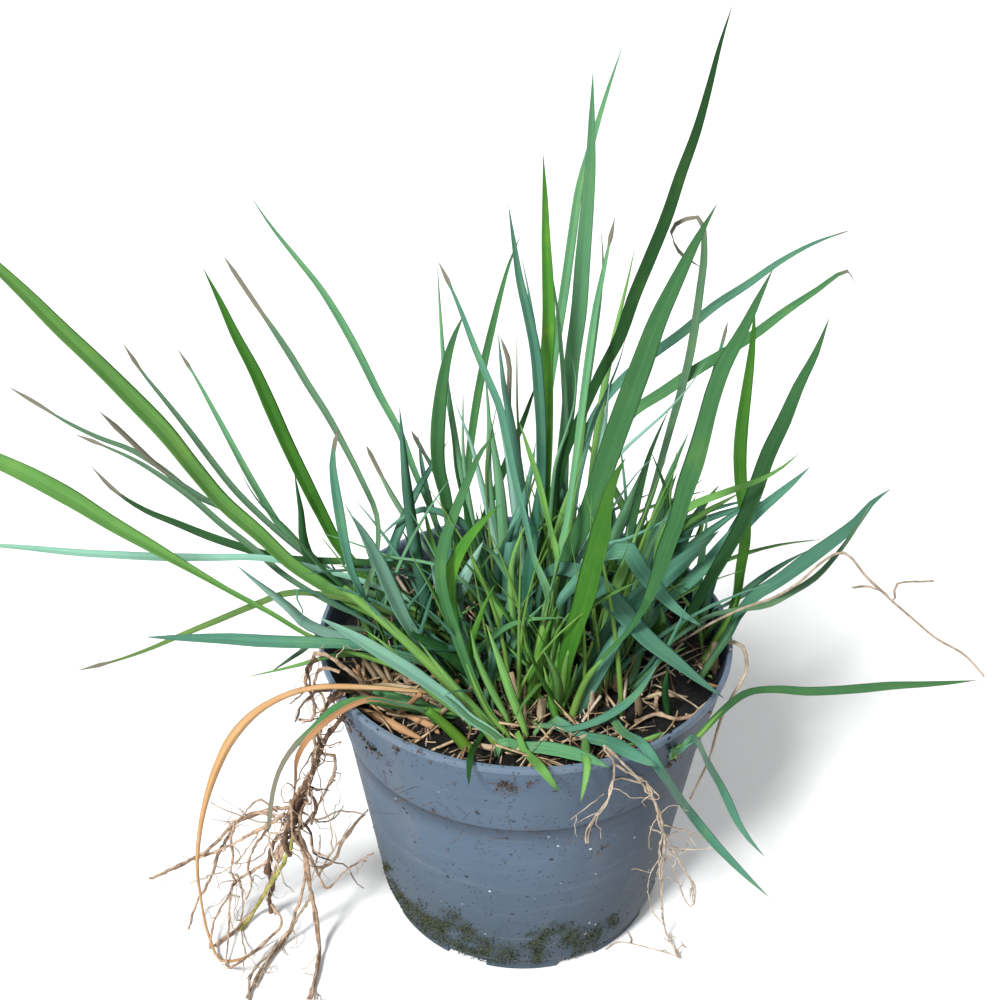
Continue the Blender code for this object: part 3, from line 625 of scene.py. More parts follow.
class Solid:
    """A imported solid's points, merged, and which of them an edge joins.

    A ring round a blade has ring_points, and past ring_gap of the usual space a new ring starts. The
    rings along a root are at least ring_step metres apart.
    """

    ring_points = 4
    ring_gap = 0.3
    ring_step = 0.0022

    def __init__(self, node: str) -> None:
        """Reads the solid of a node.

        Args:
            node: the node's name.
        """
        mesh = frame["nodes"][node].data
        corners = np.empty(len(mesh.vertices) * 3)
        mesh.vertices.foreach_get("co", corners)
        corners = corners.reshape(-1, 3)
        keys, index = np.unique(np.round(corners, 6), axis=0, return_inverse=True)
        index = index.reshape(-1)
        self.points = keys
        self.links: list[set[int]] = [set() for _ in keys]
        for edge in mesh.edges:
            first, second = (int(index[corner]) for corner in edge.vertices)
            if first != second:
                self.links[first].add(second)
                self.links[second].add(first)

    def spread(self, start: int) -> tuple[Array, list[int]]:
        """The distance along the edges from one point to each other point, and the way there.

        Args:
            start: the point to start from.

        Returns:
            The distances, and for each point the point before it.
        """
        far = np.full(len(self.points), np.inf)
        before = [-1] * len(self.points)
        far[start] = 0.0
        queue = [(0.0, start)]
        while queue:
            gone, here = heapq.heappop(queue)
            if gone > far[here]:
                continue
            for near in self.links[here]:
                reach = gone + float(np.linalg.norm(self.points[near] - self.points[here]))
                if reach < far[near]:
                    far[near] = reach
                    before[near] = here
                    heapq.heappush(queue, (reach, near))
        return far, before

    def sharpest(self) -> int:
        """The point whose edges all go nearly the same way, which is a blade's tip.

        Returns:
            The point's number.
        """
        scores = []
        for here, near in enumerate(self.links):
            edges = unit(self.points[sorted(near)] - self.points[here])
            scores.append(float(np.linalg.norm(edges.mean(axis=0))))
        return int(np.argmax(scores))

    def nearest(self, spot: Spot) -> int:
        """The point that is seen nearest to a picture point."""
        return int(np.argmin(np.linalg.norm(VIEW.spots(self.points) - np.array(spot), axis=1)))

    def ring_limb(self, rings: list[Array], end: Array) -> Limb:
        """A limb from the rings of points round it, which go from its foot to its end.

        Args:
            rings: the points of each ring.
            end: the last point.

        Returns:
            The limb.
        """
        centres, sides, halves, lifts = [], [], [], []
        for ring in rings:
            apart = np.linalg.norm(ring[:, None] - ring[None], axis=2)
            first, second = np.unravel_index(np.argmax(apart), apart.shape)
            side = unit(ring[second] - ring[first])
            if sides and side @ sides[-1] < 0:
                side = -side
            centre = (ring[first] + ring[second]) / 2
            rest = np.delete(ring, [first, second], axis=0)
            centres.append(centre if len(rest) < 3 else ring.mean(axis=0))
            sides.append(side)
            halves.append(apart.max() / 2)
            lifts.append(centre - rest.mean(axis=0) if len(rest) else np.zeros(3))
        centres.append(end)
        sides.append(sides[-1])
        halves.append(0.0)
        lifts.append(lifts[-1])
        centres, sides = np.array(centres), np.array(sides)
        upwards = unit(np.cross(ways(centres), sides))
        if float(np.sum(upwards * np.array(lifts))) < 0:
            sides, upwards = -sides, -upwards
        return Limb(centres, sides, np.array(halves), upwards)

    def blade(self) -> Limb:
        """The limb of a solid that is a single blade.

        Returns:
            The limb, from its foot to its tip.
        """
        tip = self.sharpest()
        far, _ = self.spread(tip)
        order = [here for here in np.argsort(far) if here != tip]
        spacing = far.max() / max(1, round(len(order) / self.ring_points))
        rings, ring = [], [order[0]]
        for before, here in zip(order, order[1:]):
            if far[here] - far[before] > self.ring_gap * spacing:
                rings.append(ring)
                ring = []
            ring.append(here)
        rings.append(ring)
        whole = [self.points[ring] for ring in reversed(rings) if len(ring) == self.ring_points]
        if len(whole) < len(rings):
            log.info("left out %d uneven rings", len(rings) - len(whole))
        return self.ring_limb(whole, self.points[tip])

    def grown(self, start: Spot, end: Spot, reach_start: float, reach_end: float) -> Limb:
        """The limb of a solid's root or fused blade between two picture points.

        Args:
            start: where the piece starts.
            end: where this limb ends.
            reach_start: the size of a ring of points at the start.
            reach_end: the size of a ring at the end.

        Returns:
            The limb.
        """
        first, last = self.nearest(start), self.nearest(end)
        _, before = self.spread(first)
        way = [last]
        while way[-1] != first:
            way.append(before[way[-1]])
        way.reverse()
        rings = []
        for number, here in enumerate(way):
            share = number / max(1, len(way) - 1)
            reach = reach_start + (reach_end - reach_start) * share
            ring = self.points[np.linalg.norm(self.points - self.points[here], axis=1) < reach]
            if len(ring) < 3:
                continue
            if rings and np.linalg.norm(ring.mean(axis=0) - rings[-1].mean(axis=0)) < self.ring_step:
                continue
            rings.append(ring)
        return self.ring_limb(rings, self.points[last])


# ---- blades


@dataclass(frozen=True)
class BladeLook:
    """How one blade looks beside its line.

    The stem is the share of it that is narrow at its foot, and bare the share of the foot's pale green
    that it lacks.
    """

    kind: Leaf
    dry: float = 0.0
    fold: float = 0.28
    wave: float = 1.0
    # shade: how much darker the blade is painted, partly its own tone and partly painted shade where it
    # stands in shadow
    shade: float = 0.25
    width: float = 1.0
    stem: float = 0.0
    bare: float = 0.0


@dataclass
class BladeMaker:
    """Sweeps a thin, veined and folded blade along a limb. Lengths are in metres."""

    columns: int = 8
    row_length: float = 0.005
    thickness: float = 0.00034
    edge_thickness: float = 0.00010
    shrivelled: float = 0.25
    dry_half: float = 0.0011
    stem_width: float = 0.36
    least_half: float = 0.0001
    twist: float = 0.16
    ripple: float = 0.05

    def halves(self, halves: Array, look: BladeLook) -> Array:
        """Half the width at each row, with a narrow stem and a shrivelled dry tip.

        Args:
            halves: half the plain width at each row.
            look: how the blade looks.

        Returns:
            The changed halves.
        """
        share = np.linspace(0.0, 1.0, len(halves))
        if look.stem > 0.0:
            halves = halves * np.interp(share, (0.75 * look.stem, 1.25 * look.stem), (self.stem_width, 1.0))
        if look.dry > 0.0:
            dried = np.clip((share - 1.0 + look.dry) / (0.4 * look.dry), 0.0, 1.0)
            blunt = self.dry_half * dried * np.clip(np.linspace(1.0, 0.0, len(halves)) / 0.05, 0.0, 1.0)
            halves = np.maximum(halves * (1.0 - self.shrivelled * dried), blunt)
        return halves

    def sweep(self, limb: Limb, look: BladeLook, seed: int) -> MeshData:
        """The mesh of one blade.

        Args:
            limb: the line that it follows.
            look: how it looks.
            seed: the seed of its waves and of the random part of its tone.

        Returns:
            The mesh, closed at its foot and pointed at its tip.
        """
        random = np.random.default_rng(seed)
        rows = int(np.clip(limb.length() / self.row_length, 12, 64))
        line, places = smooth_line(limb.centres, rows + 1)
        numbers = np.arange(len(limb.centres))
        sides = unit(np.stack([np.interp(places, numbers, limb.sides[:, a]) for a in range(3)], 1))
        halves = self.halves(np.interp(places, numbers, limb.halves) * look.width, look)
        way = ways(line)
        sides = square(sides, way)
        ups = np.cross(way, sides)
        share = np.linspace(0.0, 1.0, rows + 1)
        waves = share * random.uniform(0.5, 1.1) + random.random()
        turn = look.wave * self.twist * np.sin(math.tau * waves)
        sides, ups = (sides * np.cos(turn)[:, None] + ups * np.sin(turn)[:, None],
                      ups * np.cos(turn)[:, None] - sides * np.sin(turn)[:, None])
        fold = look.fold * (1.0 + 1.6 * np.clip(1.0 - share / 0.25, 0.0, 1.0))
        phase = random.uniform(0.0, math.tau, 3)[0]
        across = np.linspace(-1.0, 1.0, self.columns + 1)
        thick = self.edge_thickness + (self.thickness - self.edge_thickness) * (1.0 - across**2)
        around = 2 * self.columns
        mesh = MeshData()
        for row in range(rows):
            half = max(halves[row], self.least_half)
            ripple = self.ripple * look.wave * half * np.sin(
                share[row] * 31.0 + phase + across * 1.7) * np.abs(across) ** 2
            rise = fold[row] * half * (np.abs(across) ** 1.25 - 0.4) + ripple
            base = line[row] + sides[row] * (across * half)[:, None]
            top = base + ups[row] * (rise + thick / 2)[:, None]
            low = base + ups[row] * (rise - thick / 2)[:, None]
            mesh.points += [tuple(point) for point in np.concatenate([top, low[-2:0:-1]])]
        mesh.points.append(tuple(line[-1]))
        for row in range(rows - 1):
            mesh.faces += band(row * around, (row + 1) * around, around)
        last, tip = (rows - 1) * around, rows * around
        mesh.faces += [(last + side, last + (side + 1) % around, tip) for side in range(around)]
        mesh.faces.append(tuple(reversed(range(around))))
        along = np.append(np.repeat(share[:rows], around), 1.0)
        dry = np.zeros(len(along))
        if look.dry > 0.0:
            dry = np.clip((along - (1.0 - look.dry)) / (0.5 * look.dry), 0.0, 1.0)
        # a little random tone, with the blade's shade, which is partly painted shade
        tint = 2.0 * look.shade - 1.0 + float(random.uniform(-0.3, 0.3))
        mesh.numbers = {
            "along": list(look.bare + (1.0 - look.bare) * along),
            "across": [*across, *across[-2:0:-1]] * rows + [0.0],
            "under": ([0.0] * (self.columns + 1) + [1.0] * (self.columns - 1)) * rows + [0.0],
            "dry": list(dry),
            "tint": [tint] * len(along),
        }
        return mesh


MAKER = BladeMaker()


# ---- Geometry Nodes


class Network(Wiring):
    """A Geometry Nodes tree with named inputs."""

    def __init__(self, name: str) -> None:
        """Starts a tree that takes a geometry and gives one back.

        Args:
            name: the tree's name.
        """
        super().__init__(bpy.data.node_groups.new(name, "GeometryNodeTree"))
        for side in ("INPUT", "OUTPUT"):
            self.tree.interface.new_socket("Geometry", in_out=side, socket_type="NodeSocketGeometry")
        self.start = self.tree.nodes.new("NodeGroupInput")
        self.end = self.tree.nodes.new("NodeGroupOutput")

    def inputs(self, **kinds: str) -> list[Socket]:
        """Adds inputs to the tree.

        Args:
            kinds: the kind of each input, by name.

        Returns:
            Their sockets inside the tree.
        """
        for name, kind in kinds.items():
            self.tree.interface.new_socket(name, in_out="INPUT", socket_type=f"NodeSocket{kind}")
        return [self.start.outputs[name] for name in kinds]

    def named(self, name: object) -> Socket:
        """The number that the mesh holds under this name."""
        made = self.node("GeometryNodeInputNamedAttribute", {"Name": name}, data_type="FLOAT")
        return made.outputs["Attribute"]

    def close(self, geometry: Socket) -> None:
        """Ends the tree in Realize Instances and Set Material.

        Args:
            geometry: what the tree has made.
        """
        (material,) = self.inputs(Material="Material")
        real = self.node("GeometryNodeRealizeInstances", {"Geometry": geometry})
        smooth = self.node("GeometryNodeSetShadeSmooth", {"Geometry": real.outputs[0]})
        dressed = self.node("GeometryNodeSetMaterial", {"Geometry": smooth.outputs[0], "Material": material})
        self.fill(self.end.inputs[0], dressed.outputs[0])

    def apply(self, item: Item, **values: object) -> Item:
        """Runs the tree on an object and keeps the result as its plain mesh.

        Args:
            item: the object.
            values: the tree's inputs by name.

        Returns:
            The same object.
        """
        modifier = item.modifiers.new("network", "NODES")
        modifier.node_group = self.tree
        sockets = {socket.name: socket.identifier for socket in self.tree.interface.items_tree
                   if socket.in_out == "INPUT"}
        for name, value in values.items():
            modifier[sockets[name]] = value
        bake(item)
        return item


def tube_network() -> Network:
    """The tree that turns lines with a radius at each point into closed tubes.

    Returns:
        The tree, with how many sides a tube has and the material as its inputs.
    """
    tree = Network("tubes_along_lines")
    (sides,) = tree.inputs(Sides="Int")
    radius = tree.named("radius")
    curve = tree.node("GeometryNodeMeshToCurve", {"Mesh": tree.start.outputs["Geometry"]})
    sized = tree.node("GeometryNodeSetCurveRadius", {"Curve": curve.outputs[0], "Radius": radius})
    ring = tree.node("GeometryNodeCurvePrimitiveCircle", {"Resolution": sides, "Radius": 1.0})
    tube = tree.node("GeometryNodeCurveToMesh", {
        "Curve": sized.outputs[0], "Profile Curve": ring.outputs["Curve"], "Fill Caps": True})
    if "Scale" in tube.inputs:
        tree.fill(tube.inputs["Scale"], radius)
    tree.close(tube.outputs[0])
    return tree


def scatter_network() -> Network:
    """The tree that sets copies of some small shapes about a surface, turned and sized at random.

    Returns:
        The tree, with what a Scattering holds, the shapes and the material as its inputs.
    """
    tree = Network("scatter_on_surface")
    shapes, density, share, smallest, largest, tilt, seed = tree.inputs(
        Shapes="Collection", Density="Float", Share="String", Smallest="Float", Largest="Float",
        Tilt="Float", Seed="Int")
    points = tree.node("GeometryNodeDistributePointsOnFaces", {
        "Mesh": tree.start.outputs["Geometry"], "Density": tree.times(tree.named(share), density),
        "Seed": seed})
    kinds = tree.node("GeometryNodeCollectionInfo", {
        "Collection": shapes, "Separate Children": True, "Reset Children": True})
    less = tree.times(tilt, -1.0)
    low = tree.node("ShaderNodeCombineXYZ", {"X": less, "Y": less, "Z": 0.0}).outputs[0]
    high = tree.node("ShaderNodeCombineXYZ", {"X": tilt, "Y": tilt, "Z": math.tau}).outputs[0]
    turn = tree.node("FunctionNodeRandomValue", {0: low, 1: high, "Seed": seed}, data_type="FLOAT_VECTOR")
    size = tree.node("FunctionNodeRandomValue", {2: smallest, 3: largest, "Seed": seed}, data_type="FLOAT")
    tint = tree.node("FunctionNodeRandomValue", {2: -1.0, 3: 1.0}, data_type="FLOAT")
    turned = tree.node("FunctionNodeRotateRotation", {0: points.outputs["Rotation"], 1: turn.outputs[0]},
                       rotation_space="LOCAL")
    copies = tree.node("GeometryNodeInstanceOnPoints", {
        "Points": points.outputs["Points"], "Instance": kinds.outputs[0], "Pick Instance": True,
        "Rotation": turned.outputs[0], "Scale": size.outputs[1]})
    tinted = tree.node("GeometryNodeStoreNamedAttribute", {
        "Geometry": copies.outputs[0], "Name": "tint", "Value": tint.outputs[1]},
        data_type="FLOAT", domain="INSTANCE")
    tree.close(tinted.outputs[0])
    return tree


TUBES = tube_network()
SCATTER = scatter_network()


@dataclass(frozen=True)
class Scattering:
    """How small shapes are set out over a surface.

    The density is how many a square metre holds where the mesh's own number of the name share is 1. The
    sizes are in metres, and the tilt in radians.
    """

    name: str
    density: float
    share: str
    smallest: float
    largest: float
    tilt: float
    seed: int

    def cover(self, surface: MeshData, shapes: Shapes, material: Material,
              outwards: bool = True) -> Item:
        """Sets the shapes out over a surface.

        Args:
            surface: the surface, which isn't kept.
            shapes: the small shapes.
            material: their finish.
            outwards: whether the surface's faces still have to be turned outwards.

        Returns:
            All the copies as one object.
        """
        item = surface.build(self.name, material, outwards)
        return SCATTER.apply(item, Shapes=shapes, Density=self.density, Share=self.share, Tilt=self.tilt,
                             Smallest=self.smallest, Largest=self.largest, Seed=self.seed, Material=material)


@dataclass
class Strands:
    """Lines with a radius at each point, which become tubes."""

    points: list = field(default_factory=list)
    radii: list = field(default_factory=list)
    edges: list = field(default_factory=list)

    def add(self, line: Array, radii: Array) -> None:
        """Adds a line.

        Args:
            line: its points.
            radii: the radius at each of them.
        """
        base = len(self.points)
        self.points += [tuple(map(float, point)) for point in line]
        self.radii += [float(radius) for radius in radii]
        self.edges += [(base + index, base + index + 1) for index in range(len(line) - 1)]

    def build(self, name: str, kind: Stem, sides: int = 6) -> Item:
        """Makes the tubes.

        Args:
            name: the object's name.
            kind: the kind of root or stalk.
            sides: how many sides a tube has.

        Returns:
            The object.
        """
        mesh = bpy.data.meshes.new(name)
        mesh.from_pydata(self.points, self.edges, [])
        put_numbers(mesh, "radius", self.radii)
        return TUBES.apply(in_scene(name, mesh), Sides=sides, Material=stem_material(kind))


def shape_set(name: str, shapes: list[MeshData]) -> Shapes:
    """A hidden collection of small shapes for the scatter tree.

    Args:
        name: the collection's name.
        shapes: the shapes, each about its own origin.

    Returns:
        The collection.
    """
    made = bpy.data.collections.new(name)
    for index, shape in enumerate(shapes):
        mesh = shape.mesh(f"{name}_{index}")
        for part, values in shape.numbers.items():
            if part != "tint":
                put_numbers(mesh, part, values)
        made.objects.link(bpy.data.objects.new(mesh.name, mesh))
    return made


def drop_shapes(*sets: Shapes) -> None:
    """Removes collections of small shapes once their copies are made.

    Args:
        sets: the collections.
    """
    for shapes in sets:
        for item in list(shapes.objects):
            bpy.data.objects.remove(item, do_unlink=True)
        bpy.data.collections.remove(shapes)


def dress(item: Item, *nodes: str, slot: str = "") -> None:
    """Lets a piece ride on the plant's one body, in place of these solids.

    Args:
        item: the piece.
        nodes: the solids that it stands for.
        slot: the name of a material slot in the record; not used.
    """
    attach(item, BODY)
    if nodes:
        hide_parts(*nodes)
    log.info("%s: %d faces", item.name, len(item.data.polygons))


# ---- the pot


@dataclass
class Pot:
    """The thin round nursery pot, with its sizes in metres."""

    rim_radius: float = 0.095
    height: float = 0.153
    wall: float = 0.0014
    lip_height: float = 0.0035
    lip_overhang: float = 0.0008
    lip_round: float = 0.0005
    band_radius: float = 0.0858
    band_height: float = 0.1095
    band_step: float = 0.0005
    foot_radius: float = 0.0690
    foot_width: float = 0.0035
    foot_height: float = 0.0045
    body_radius: float = 0.0722
    body_height: float = 0.0150
    curve_height: float = 0.0100
    pad_radius: float = 0.022
    pad_draft: float = 0.002
    notch_length: float = 0.020
    notches: int = 8
    sides: int = 176
    profile_step: float = 0.004
    sharp_from: float = math.radians(26.0)
    crease_marks: int = 34
    nearest: float = 0.3
    farthest: float = 1.0
    search_step: float = 0.0002
    moss_foot: float = 0.002
    moss_top: float = 0.058
    moss_rings: int = 36
    moss_spread: float = 1.6
    stain_spread: float = 2.6
    moss: Scattering = Scattering("pot_moss", 1900000.0, "moss", 0.0002, 0.0011, 3.0, 33)

    def outside(self) -> list[Spot]:
        """The outer profile from the foot up to the lip, as radius and height.

        Returns:
            The corners, from the foot up.
        """
        foot, body, band, step = self.foot_radius, self.body_radius, self.band_radius, self.band_step
        rim, lip, curl, top = self.rim_radius, self.lip_overhang, self.lip_round, self.height
        lip_foot, shelf = top - self.lip_height, self.band_height
        return [
            (foot, 0.0), (foot + curl, self.foot_height + curl), (body - 0.0012, 0.0078),
            (body - curl, self.curve_height), (body, self.body_height),
            (band - step - 0.00015, shelf - step - 0.0010), (band - step, shelf - step),
            (band - 0.3 * step, shelf - 0.3 * step), (band, shelf), (band + 0.0001, shelf + 0.0005),
            (band + 0.0004, shelf + 0.0015), (rim - lip, lip_foot), (rim - 0.0002, lip_foot + 0.3 * lip),
            (rim, lip_foot + lip), (rim, top - curl), (rim - 0.3 * curl, top - 0.2 * curl), (rim - curl, top),
        ]

    def radius_at(self, height: float) -> float:
        """The outer radius at a height."""
        profile = self.outside()
        return float(np.interp(height, [z for _, z in profile], [r for r, _ in profile]))

    def profile(self) -> list[Spot]:
        """The whole profile, from the middle of the base round the wall to the middle of the floor.

        Returns:
            The radius and height of each point.
        """
        wall, inner_foot = self.wall, self.foot_radius - self.foot_width
        floor = self.foot_height + wall
        points = [(0.0, 0.0), (self.pad_radius, 0.0), (self.pad_radius + self.pad_draft, self.foot_height),
                  (inner_foot, self.foot_height), (inner_foot, 0.0)]
        outer = self.outside()
        for first, second in zip(outer, outer[1:]):
            count = max(1, int(math.dist(first, second) / self.profile_step))
            for share in (step / count for step in range(count)):
                points.append(tuple(low + (high - low) * share for low, high in zip(first, second)))
        return points + [
            outer[-1],
            (self.rim_radius - self.lip_round - wall, self.height),
            (self.rim_radius - self.lip_overhang - wall, self.height - self.lip_round),
            (self.band_radius - wall, self.band_height + self.band_step),
            (self.band_radius - self.band_step - wall, self.band_height - self.band_step),
            (self.body_radius - wall, self.body_height),
            (self.foot_radius - wall - self.pad_draft, floor),
            (0.0, floor),
        ]

    def turned(self) -> MeshData:
        """The pot turned about its axis.

        Returns:
            The closed mesh, with how thickly moss grows at each point.
        """
        mesh = MeshData()
        rings = []
        for radius, height in self.profile():
            first = len(mesh.points)
            mesh.points += circle(radius, height, self.sides if radius else 1)
            rings.append(range(first, len(mesh.points)))
        for low, high in zip(rings, rings[1:]):
            for side in range(self.sides):
                after = (side + 1) % self.sides
                corners = (low[side % len(low)], low[after % len(low)],
                           high[after % len(high)], high[side % len(high)])
                mesh.faces.append(tuple(dict.fromkeys(corners)))
        shown = VIEW.spots(np.array(mesh.points))
        mesh.numbers = {"growth": [self.growth(point, spot, self.stain_spread)
                                   for point, spot in zip(mesh.points, shown)]}
        return mesh

    def growth(self, point: Point, spot: Array, spread: float) -> float:
        """How thickly moss grows at a point of the wall.

        Args:
            point: the point.
            spot: the picture point that shows it.
            spread: how far the moss reaches past the middle of each patch.

        Returns:
            A share from 0 to 1.
        """
        if point[1] < 0.0:
            share = max(1.0 - math.dist(spot, (x, y)) / (spread * reach) for x, y, reach in MOSS)
        else:
            share = 0.5 + 0.9 * soft_noise(math.atan2(point[1], point[0]), point[2] * 20, 2.2, 4.0)
            share -= max(0.0, point[2] - 0.006) / 0.018
        share *= 0.85 + 1.1 * soft_noise(point[0] + point[1], point[2], 210.0, 7.0)
        return float(np.clip(share, 0.0, 1.0))

    def cut_notches(self, item: Item) -> None:
        """Cuts the drain notches through the foot ring.

        Args:
            item: the pot.
        """
        work = bmesh.new()
        middle = self.foot_radius - self.foot_width / 2
        size = (4 * self.foot_width, self.notch_length, 2 * (self.foot_height - self.lip_overhang))
        for index in range(self.notches):
            turn = math.tau * (index + 0.5) / self.notches
            place = Matrix.Rotation(turn, 4, "Z") @ Matrix.Translation((middle, 0.0, 0.0))
            bmesh.ops.create_cube(work, size=1.0, matrix=place @ Matrix.Diagonal((*size, 1.0)))
        cutter_mesh = bpy.data.meshes.new("notch_cutter")
        work.to_mesh(cutter_mesh)
        work.free()
        cutter = in_scene("notch_cutter", cutter_mesh)
        cut = item.modifiers.new("notches", "BOOLEAN")
        cut.operation, cut.solver, cut.object = "DIFFERENCE", "EXACT", cutter
        bake(item)
        item.data.shade_smooth()
        item.data.set_sharp_from_angle(angle=self.sharp_from)
        bpy.data.objects.remove(cutter, do_unlink=True)

    def material(self) -> Material:
        """Matt blue-grey plastic with scuffs, pits, a cloudy stain, dirt and moss by the foot, painted shade
        towards its right side, its foot and inside its rim, and a painted highlight on its lip.

        Returns:
            The material.
        """
        shader = Shader("pot_plastic", 0.5, 0.2)
        across, depth, height = shader.node("ShaderNodeSeparateXYZ", {0: shader.place()}).outputs
        broad = shader.noise(shader.place(), 9.0, 3.0)
        fine = shader.noise(shader.place(), 260.0, 5.0, 0.75)
        shader.colour = shader.mix(shader.between(broad, 0.35, 0.7), seen(68, 88, 108), seen(83, 102, 122))
        # painted shade: the pot is painted darker towards its right side, away from the key light
        shader.layer(shader.between(across, -0.01, 0.078), 0.95, seen(12, 34, 56))
        # painted shade: darker towards the foot
        shader.layer(shader.between(height, 0.10, 0.02), 0.62, seen(30, 44, 52))
        # painted highlight: the lip and the rim above it are painted lighter
        lip_foot = self.height - self.lip_height
        lip = shader.between(height, lip_foot - 0.001, lip_foot + 0.001)
        shader.layer(lip, 0.6, seen(104, 120, 138))
        shader.layer(fine, 0.22, (0.16, 0.19, 0.23))
        rows = shader.noise(shader.place((6.0, 6.0, 150.0)), 1.6, 4.0)
        shader.layer(shader.between(rows, 0.52, 0.75), 0.18, (0.19, 0.23, 0.28))
        stain = shader.noise(shader.place((26.0, 26.0, 9.0)), 1.0, 5.0)
        shader.layer(shader.between(stain, 0.55, 0.8), 0.35, (0.16, 0.17, 0.17))
        pits = shader.between(shader.cells(shader.place((1.0, 1.0, 1.25)), 150.0), 0.20, 0.10)
        pit = shader.times(pits, shader.patches(75.0, 2.0, 0.50, 0.58))
        shader.cover(pit, (0.012, 0.012, 0.014))
        grit = shader.between(shader.cells(shader.place(), 420.0), 0.26, 0.14)
        grit = shader.times(grit, shader.patches(60.0, 2.0, 0.44, 0.56))
        shader.layer(grit, 0.8, (0.02, 0.02, 0.022))
        specks = shader.between(shader.cells(shader.place(), 150.0), 0.13, 0.07)
        shader.layer(specks, shader.patches(58.0, 2.0, 0.57, 0.63), (0.62, 0.64, 0.66))
        lines = shader.between(shader.noise(shader.place((30.0, 30.0, 900.0)), 1.0, 2.0), 0.70, 0.73)
        scratch = shader.times(lines, shader.patches(24.0, 2.0, 0.55, 0.62))
        shader.layer(scratch, 0.7, (0.07, 0.06, 0.05))
        step = shader.sum("ABSOLUTE", shader.sum("SUBTRACT", height, self.band_height - 0.0008))
        grime = shader.between(shader.noise(shader.place((1.0, 1.0, 2.0)), 70.0, 5.0), 0.48, 0.62)
        grime = shader.times(shader.between(step, 0.0010, 0.0002), grime)
        shader.layer(grime, 0.9, (0.035, 0.028, 0.02))
        mud = shader.between(shader.noise(shader.place(), 48.0, 6.0, 0.7), 0.63, 0.72)
        shader.layer(mud, 0.6, (0.075, 0.052, 0.035))
        grain = shader.noise(shader.place(), 700.0, 4.0, 0.8)
        moss = shader.between(shader.plus(shader.attribute("growth"), shader.times(grain, 0.9)), 0.68, 1.35)
        green = shader.ramp(grain, (0.3, seen(18, 22, 16)), (0.5, seen(42, 50, 38)), (0.7, seen(78, 84, 60)))
        shader.layer(moss, 0.9, green)
        # painted shade: the inner face of the wall just under the rim is painted nearly black
        away = shader.sum("SQRT", shader.plus(shader.times(across, across), shader.times(depth, depth)))
        wall = shader.between(shader.sum("SUBTRACT", away, shader.times(height, 0.1914)), 0.06515, 0.0642)
        inner = shader.times(wall, shader.between(height, self.height - 0.0008, self.height - 0.004))
        shader.layer(inner, 0.8, (0.018, 0.024, 0.038))
        bumps = shader.sum("SUBTRACT", shader.plus(shader.times(fine, 0.3), shader.times(moss, 2.0)), pit)
        rough = shader.plus(shader.times(moss, 0.35), shader.plus(shader.times(broad, 0.12), 0.46))
        return shader.finish(bumps, 0.5, 0.0005, rough)

    def on_wall(self, spot: Spot) -> tuple[Vector, Vector] | None:
        """The place on the outside of the wall that a picture point shows.

        Args:
            spot: the picture point.

        Returns:
            The place and the direction straight out of the wall there, or nothing beside the pot.
        """
        start, way = Vector(VIEW.eye), VIEW.sight(spot).normalized()
        for step in np.arange(self.nearest, self.farthest, self.search_step):
            here = start + way * float(step)
            if 0.0 < here.z < self.height and math.hypot(here.x, here.y) <= self.radius_at(here.z):
                return here, Vector((here.x, here.y, 0.0)).normalized()
        return None

    def add_dirt(self) -> None:
        """Lumps of peat that cling to the outside of the wall, and fine dark scratches round it."""
        random = np.random.default_rng(31)
        clods = [(*map(np.array, self.on_wall(spot)), size_mm) for spot, size_mm in CLODS]
        mesh = MeshData()
        for place, out, size_mm in clods:
            for _ in range(int(6 + 5 * size_mm)):
                size = size_mm / 1000 * random.uniform(0.07, 0.24)
                push = random.normal(0.0, 0.36 * size_mm / 1000, 3)
                push += out * (0.2 * size - float(push @ out))
                mesh.add(lump(place + push, size * random.uniform(0.6, 1.4, 3), random))
        dress(mesh.build("pot_clods", dirt_material()), slot="black_soil")
        lines = Strands()
        steps = np.linspace(0.0, 1.0, 6)[:, None]
        for place, out, size_mm in clods:
            for _ in range(int(1.6 * size_mm)):
                start = place + random.normal(0.0, 0.4 * size_mm / 1000, 3)
                start += out * (0.0008 - float((start - place) @ out))
                way = unit(random.normal(0.0, 1.0, 3)) * size_mm / 1000 * random.uniform(0.5, 1.1)
                way -= out * float(way @ out) * 0.8
                bend = random.normal(0.0, 0.0004, 3)
                lines.add(start + way * steps + bend * steps**2, np.full(6, random.uniform(0.00008, 0.00018)))
        for _ in range(self.crease_marks):
            self.add_scratch(lines, random)
        dress(lines.build("pot_scratches", DARK_ROOT, 4), slot="root_brown")

    def add_scratch(self, lines: Strands, random: Random) -> None:
        """Adds a fine scratch near the step under the band.

        Args:
            lines: the strands that it is added to.
            random: the source of its place, lean and length.
        """
        at = CREASE[int(random.integers(len(CREASE)))]
        start = (at[0] + random.normal(0.0, 12.0), at[1] + random.normal(0.0, 10.0))
        lean, reach = random.normal(0.25, 0.9), random.uniform(4.0, 22.0)
        spots = [(start[0] + reach * share * math.cos(lean), start[1] + reach * share * math.sin(lean))
                 for share in np.linspace(-0.5, 0.5, 6)]
        points = [place + out * 0.00006 for place, out in filter(None, map(self.on_wall, spots))]
        if len(points) > 2:
            lines.add(np.array(points), np.full(len(points), random.uniform(0.00006, 0.00014)))

